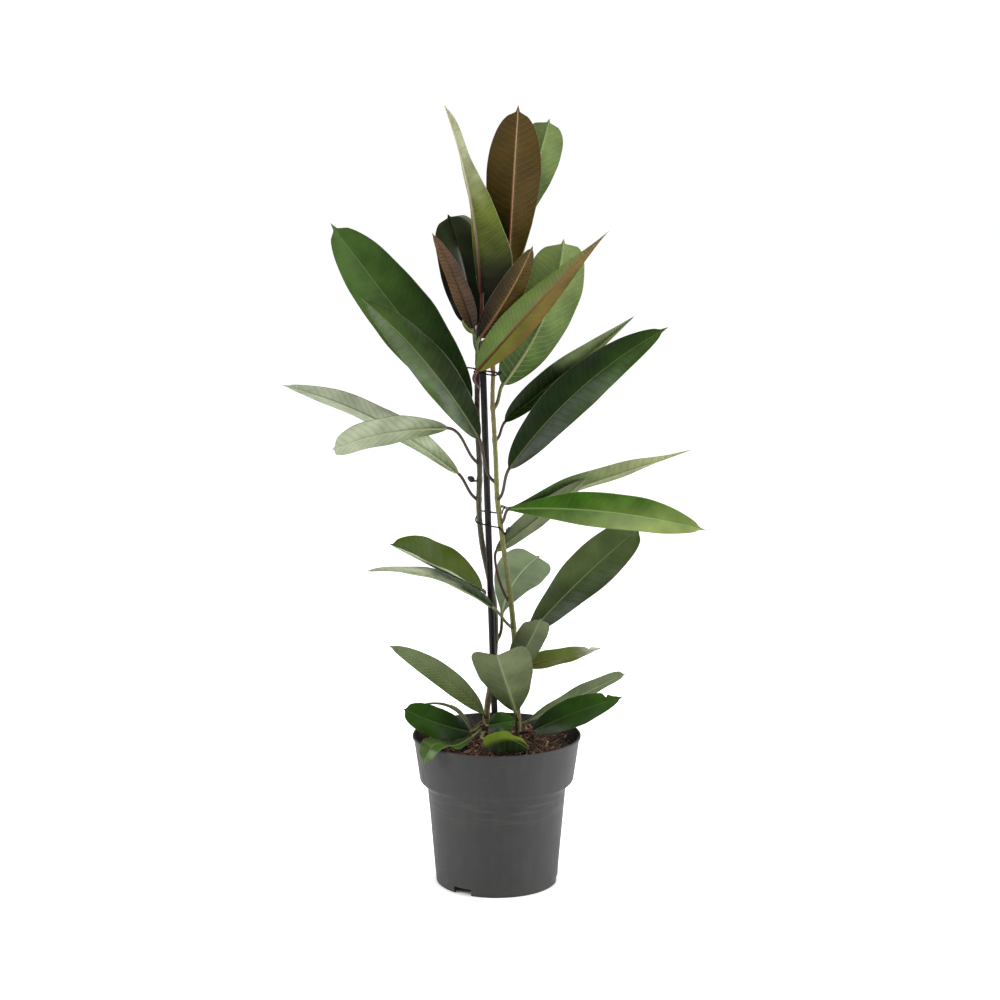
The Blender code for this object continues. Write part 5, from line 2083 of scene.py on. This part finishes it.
@dataclass(frozen=True)
class Soil:
    """The soil: a lumpy bed of bark and coco fibre that fills the pot."""

    pot: Pot
    mound: float = 3.0
    bump: float = 2.2
    clearance: float = 0.5
    shoulder: tuple[float, float] = (6.0, 0.4)
    wall_gap: float = 0.8
    foot: float = 14.0
    rows: int = 76
    steps: int = 168
    sheet_rows: int = 30
    sheet_steps: int = 72
    bed_skin: CrumbSkin = CrumbSkin(
        "soil bed", (0.008, 0.004, 0.002), (0.034, 0.014, 0.007), (0.12, 0.06, 0.028), 0.35, 1.6,
        tinted=False,
    )
    chips: Litter = Litter(
        "bark_chips",
        CrumbSkin("bark chips", (0.016, 0.007, 0.004), (0.055, 0.021, 0.01), (0.15, 0.062, 0.028), 0.5, 0.6),
        gap=3.0, density=100000.0, smallest=0.4, largest=1.1, tip=0.6, margin=8.0, seed=SEED,
    )
    fibres: Litter = Litter(
        "coco_fibres",
        CrumbSkin("coco fibre", (0.04, 0.017, 0.007), (0.11, 0.05, 0.022), (0.5, 0.35, 0.2), 0.8, 0.15),
        gap=4.0, density=46000.0, smallest=0.5, largest=1.1, tip=0.55, margin=13.0, seed=SEED + 1,
    )

    def lift(self, x: float, y: float) -> float:
        """The height of the soil: a low mound with lumps of bark.

        Args:
            x: the place to the right of the pot's axis.
            y: the place behind it.

        Returns:
            The height over the floor.
        """
        radius = math.hypot(x, y)
        mound = self.mound * (1 - (radius / self.pot.rim_radius) ** 2)
        lumps = noise.noise(Vector((x / 9, y / 9, 3.1))) + 0.6 * noise.noise(Vector((x / 4.5, y / 4.5, 7.7)))
        crumbs = 0.5 * noise.noise(Vector((x / 2.1, y / 2.1, 1.3)))
        return SOIL_TOP + mound + self.bump * lumps + crumbs

    def ring(self, out: float, steps: int, height: float | None = None) -> list[Place]:
        """One ring of points, on the lumpy top where it has no height of its own.

        Args:
            out: its radius.
            steps: how many points it has.
            height: its height over the floor, where it lies below the top.

        Returns:
            The points.
        """
        angles = [2 * math.pi * k / steps for k in range(steps)]
        spots = [(out * math.cos(angle), out * math.sin(angle)) for angle in angles]
        return [(x, y, self.lift(x, y) if height is None else height) for x, y in spots]

    def top_rings(self, margin: float, rows: int, steps: int) -> list[list[Place]]:
        """The rings of the lumpy top, up to this margin from the pot's wall."""
        reach = self.pot.outer_radius(SOIL_TOP) - self.pot.wall - margin
        return [self.ring(out, steps) for out in np.linspace(0, reach, rows)[1:]]

    def bed(self) -> Mesh:
        """The body of the soil, closed below.

        Returns:
            The mesh.
        """
        pot, (drop, gap) = self.pot, self.shoulder
        lower = [(SOIL_TOP - drop, gap)]
        lower += [(height, self.wall_gap) for height in (pot.collar_foot, pot.step_foot, self.foot)]
        side = [self.ring(pot.outer_radius(z) - pot.wall - gap, self.steps, z) for z, gap in lower]
        rings = self.top_rings(self.clearance, self.rows, self.steps) + side
        poles = [(0.0, 0.0, self.lift(0.0, 0.0)), (0.0, 0.0, self.foot)]
        return turned_mesh("soil_bed", rings, poles, [self.bed_skin.material()])

    def chip(self, seed: int, size: Place) -> Object:
        """One splintered chip of bark.

        Args:
            seed: what makes it differ from the next.
            size: its length, width and thickness.

        Returns:
            A helper object for the scatter.
        """
        twist = 0.12 * size[0] * MM
        solid = bmesh.new()
        bmesh.ops.create_icosphere(solid, subdivisions=1, radius=0.5)
        for vertex in solid.verts:
            rough = 1 + 0.55 * noise.noise(vertex.co * 3 + Vector((seed, 0, 0)))
            vertex.co = Vector(vertex.co[k] * size[k] * rough * MM for k in range(3))
            vertex.co.x += twist * noise.noise(Vector((vertex.co.y * 900, seed, 1)))
        mesh = bpy.data.meshes.new(f"chip_{seed}")
        solid.to_mesh(mesh)
        solid.free()
        return add_object(f"chip_{seed}", mesh)

    def fibre(self, seed: int, length: float, radius: float) -> Object:
        """One bent coco fibre.

        Args:
            seed: what makes it differ from the next.
            length: its length.
            radius: its thickness.

        Returns:
            A helper object for the scatter.
        """
        bends = np.random.default_rng(seed).uniform(-1, 1, (3, 3))
        t = np.linspace(-0.5, 0.5, 7)
        path = np.stack([t * length, 0 * t, 0 * t], axis=-1)
        for k, (across, lift, turn) in enumerate(bends):
            wave = np.sin(2 * np.pi * t * (0.5 + 0.5 * k) + turn * 3) * length / (7 + 4 * k)
            path[:, 1] += across * wave
            path[:, 2] += abs(lift) * wave * 0.5
        ahead = unit(np.gradient(path, axis=0))
        right = unit(np.cross(ahead, [0, 0, 1]))
        over = np.cross(right, ahead)
        sides = 4
        angles = 2 * np.pi * np.arange(sides) / sides
        taper = radius * (1 - 0.75 * np.abs(2 * t) ** 3)
        points = round_path(path, right, over, angles, taper).reshape(-1, 3)
        last = len(points) - sides
        faces = [*ring_faces(len(t), sides), list(range(sides)), list(range(last, len(points)))[::-1]]
        mesh = new_mesh(f"fibre_{seed}", points, faces, [])
        turn_outwards(mesh)
        return add_object(f"fibre_{seed}", mesh)

    def scatter(self, litter: Litter, shapes: list[Object]) -> None:
        """Lays crumbs over the soil.

        Args:
            litter: the crumbs' kind.
            shapes: three helper shapes, which are removed afterwards.
        """
        rings = self.top_rings(litter.margin, self.sheet_rows, self.sheet_steps)
        sheet = turned_mesh("soil_sheet", rings, [(0.0, 0.0, self.lift(0.0, 0.0))], [])
        values = {
            "Gap": litter.gap * MM, "Density": litter.density, "Smallest": litter.smallest,
            "Largest": litter.largest, "Tip": litter.tip, "Seed": litter.seed,
            "Material": litter.skin.material(),
        }
        values.update({f"Shape {letter}": shape for letter, shape in zip("ABC", shapes)})
        piece = grow(litter.name, sheet, scatter_tree(), values)
        for shape in shapes:
            bpy.data.objects.remove(shape)
        settle_piece(piece, Slot.SOIL)

    def build(self) -> None:
        """Makes the bed, and lays chips and fibres over it."""
        settle_piece(add_object("soil_bed", self.bed()), Slot.SOIL, "soil")
        chip_sizes = ((13.0, 7.5, 3.4), (10.0, 6.5, 4.0), (15.0, 5.0, 2.8))
        self.scatter(self.chips, [self.chip(1 + k, size) for k, size in enumerate(chip_sizes)])
        fibre_sizes = ((22.0, 0.5), (15.0, 0.42), (28.0, 0.38))
        self.scatter(self.fibres, [self.fibre(4 + k, *size) for k, size in enumerate(fibre_sizes)])


@dataclass(frozen=True)
class Lamp:
    """A soft area light that looks at the plant."""

    name: str
    place: Place
    target: Place
    size: float
    power: float

    def build(self) -> None:
        """Adds the light."""
        light = bpy.data.lights.new(self.name, "AREA")
        light.shape = "DISK"
        light.size = self.size
        light.energy = self.power
        lamp = add_object(self.name, light)
        lamp.location = self.place
        lamp.rotation_euler = (Vector(self.target) - Vector(self.place)).to_track_quat("-Z", "Y").to_euler()


@dataclass(frozen=True)
class Studio:
    """The pale floor, the lights and the camera."""

    floor_radius: float = 60.0
    floor_colour: Colour = (0.86, 0.86, 0.86)
    floor_glow: float = 0.4
    floor_white: float = 0.9
    # Where the painted shadow round the pot's foot begins and ends, from the middle
    shade_inner: float = 64.0
    shade_outer: float = 92.0
    sky: float = 0.15
    backdrop: float = 1.1
    place: Place = (0.0041, -3.0, 1.011)
    tilt: float = 0.1736
    lens: float = 89.25
    lamps: tuple[Lamp, ...] = (
        Lamp("left light", (-2.6, -0.6, 1.6), (0, 0, 0.5), 2.0, 74.0),
        Lamp("right light", (2.6, -0.2, 1.4), (0, 0, 0.5), 2.0, 95.0),
        Lamp("top light", (0.0, 0.3, 3.0), (0, 0, 0.4), 1.8, 36.0),
        Lamp("front light", (-1.0, -3.4, 2.0), (0, 0, 0.6), 1.2, 5.0),
    )

    def floor_skin(self) -> Material:
        """The floor's pale material, which glows a little more for the camera, so that it looks white, and
        whose glow fades under and round the pot's foot as a painted shadow.

        Returns:
            The material.
        """
        skin = Skin("studio floor", 0.75)
        cloud = skin.cloud(skin.spot(), 0.004, 3.0)
        ground = skin.blend(cloud * 0.1, self.floor_colour, (0.82, 0.82, 0.82))
        sight = Value(skin, skin.add("ShaderNodeLightPath").outputs["Is Camera Ray"])
        skin.shader.inputs["Emission Color"].default_value = (1.0, 1.0, 1.0, 1.0)
        x, y, _ = skin.split(skin.spot())
        out = skin.calc("SQRT", x * x + y * y)
        glow = sight * (self.floor_white - self.floor_glow) + self.floor_glow
        # Painted shadow: the glow fades out under and round the pot's foot
        glow = glow * skin.ramp(out, self.shade_inner, self.shade_outer)
        skin.feed(skin.shader.inputs["Emission Strength"], glow)
        return skin.finish(ground, cloud * 0.1 + 0.7, cloud, 0.05)

    def light_sky(self) -> None:
        """Adds a dim sky that lights the plant, behind a white backdrop that only the camera sees."""
        world = bpy.data.worlds.new("studio sky")
        world.use_nodes = True
        sky = Graph(world.node_tree)
        sight = Value(sky, sky.add("ShaderNodeLightPath").outputs["Is Camera Ray"])
        background = world.node_tree.nodes["Background"]
        sky.feed(background.inputs["Color"], (1.0, 1.0, 1.0))
        sky.feed(background.inputs["Strength"], sight * (self.backdrop - self.sky) + self.sky)
        bpy.context.scene.world = world

    def build(self) -> None:
        """Adds the floor, the sky, the lights and the camera."""
        disc = bmesh.new()
        bmesh.ops.create_circle(disc, cap_ends=True, segments=96, radius=self.floor_radius)
        mesh = bpy.data.meshes.new("studio_floor")
        disc.to_mesh(mesh)
        disc.free()
        mesh.materials.append(self.floor_skin())
        add_object("studio_floor", mesh)
        self.light_sky()
        for lamp in self.lamps:
            lamp.build()
        camera = add_object("camera", bpy.data.cameras.new("camera"))
        camera.location = self.place
        camera.rotation_euler = (math.pi / 2 - self.tilt, 0.0, 0.0)
        camera.data.lens = self.lens
        camera.data.sensor_width = 36.0
        bpy.context.scene.camera = camera
        bpy.context.scene.view_settings.view_transform = "Standard"


LEFT_BARK = BarkSkin(
    "left stem", (0.2, 0.15, 0.07), (0.06, 0.055, 0.024), (0.024, 0.008, 0.005), low=190.0, high=620.0,
)
RIGHT_BARK = BarkSkin(
    "right stem", (0.19, 0.16, 0.06), (0.17, 0.17, 0.045), (0.16, 0.12, 0.04), low=200.0, high=640.0,
)
BUD_SKIN = StalkSkin("bud", (0.15, 0.1, 0.03), (0.2, 0.1, 0.03))


def main() -> None:
    """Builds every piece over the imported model."""
    logging.basicConfig(level=logging.INFO, format="%(message)s")
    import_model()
    Studio().build()
    pot, stake = Pot(), Stake()
    pot.build()
    Soil(pot).build()
    for line, skin in ((LEFT, LEFT_BARK), (RIGHT, RIGHT_BARK)):
        Stem(line, skin).build()
    Bud(RIGHT, tip=(-1, 5, 694), lean=(-3, 1, 22), girth=2.3, skin=BUD_SKIN).build()
    stake.build()
    tails = ((-13, 7, 1), (5, -4, 3))
    Tie("tie_upper", stake, top=645, drop=4.0, turns=1.4, start=170, tails=tails).build()
    tails = ((3, -4, 6), (4, -4, 8))
    Tie("tie_lower", stake, top=471, drop=30.0, turns=1.02, start=-5, tails=tails).build()
    for leaf in LEAVES:
        leaf.build()


if __name__ == "__main__":
    main()
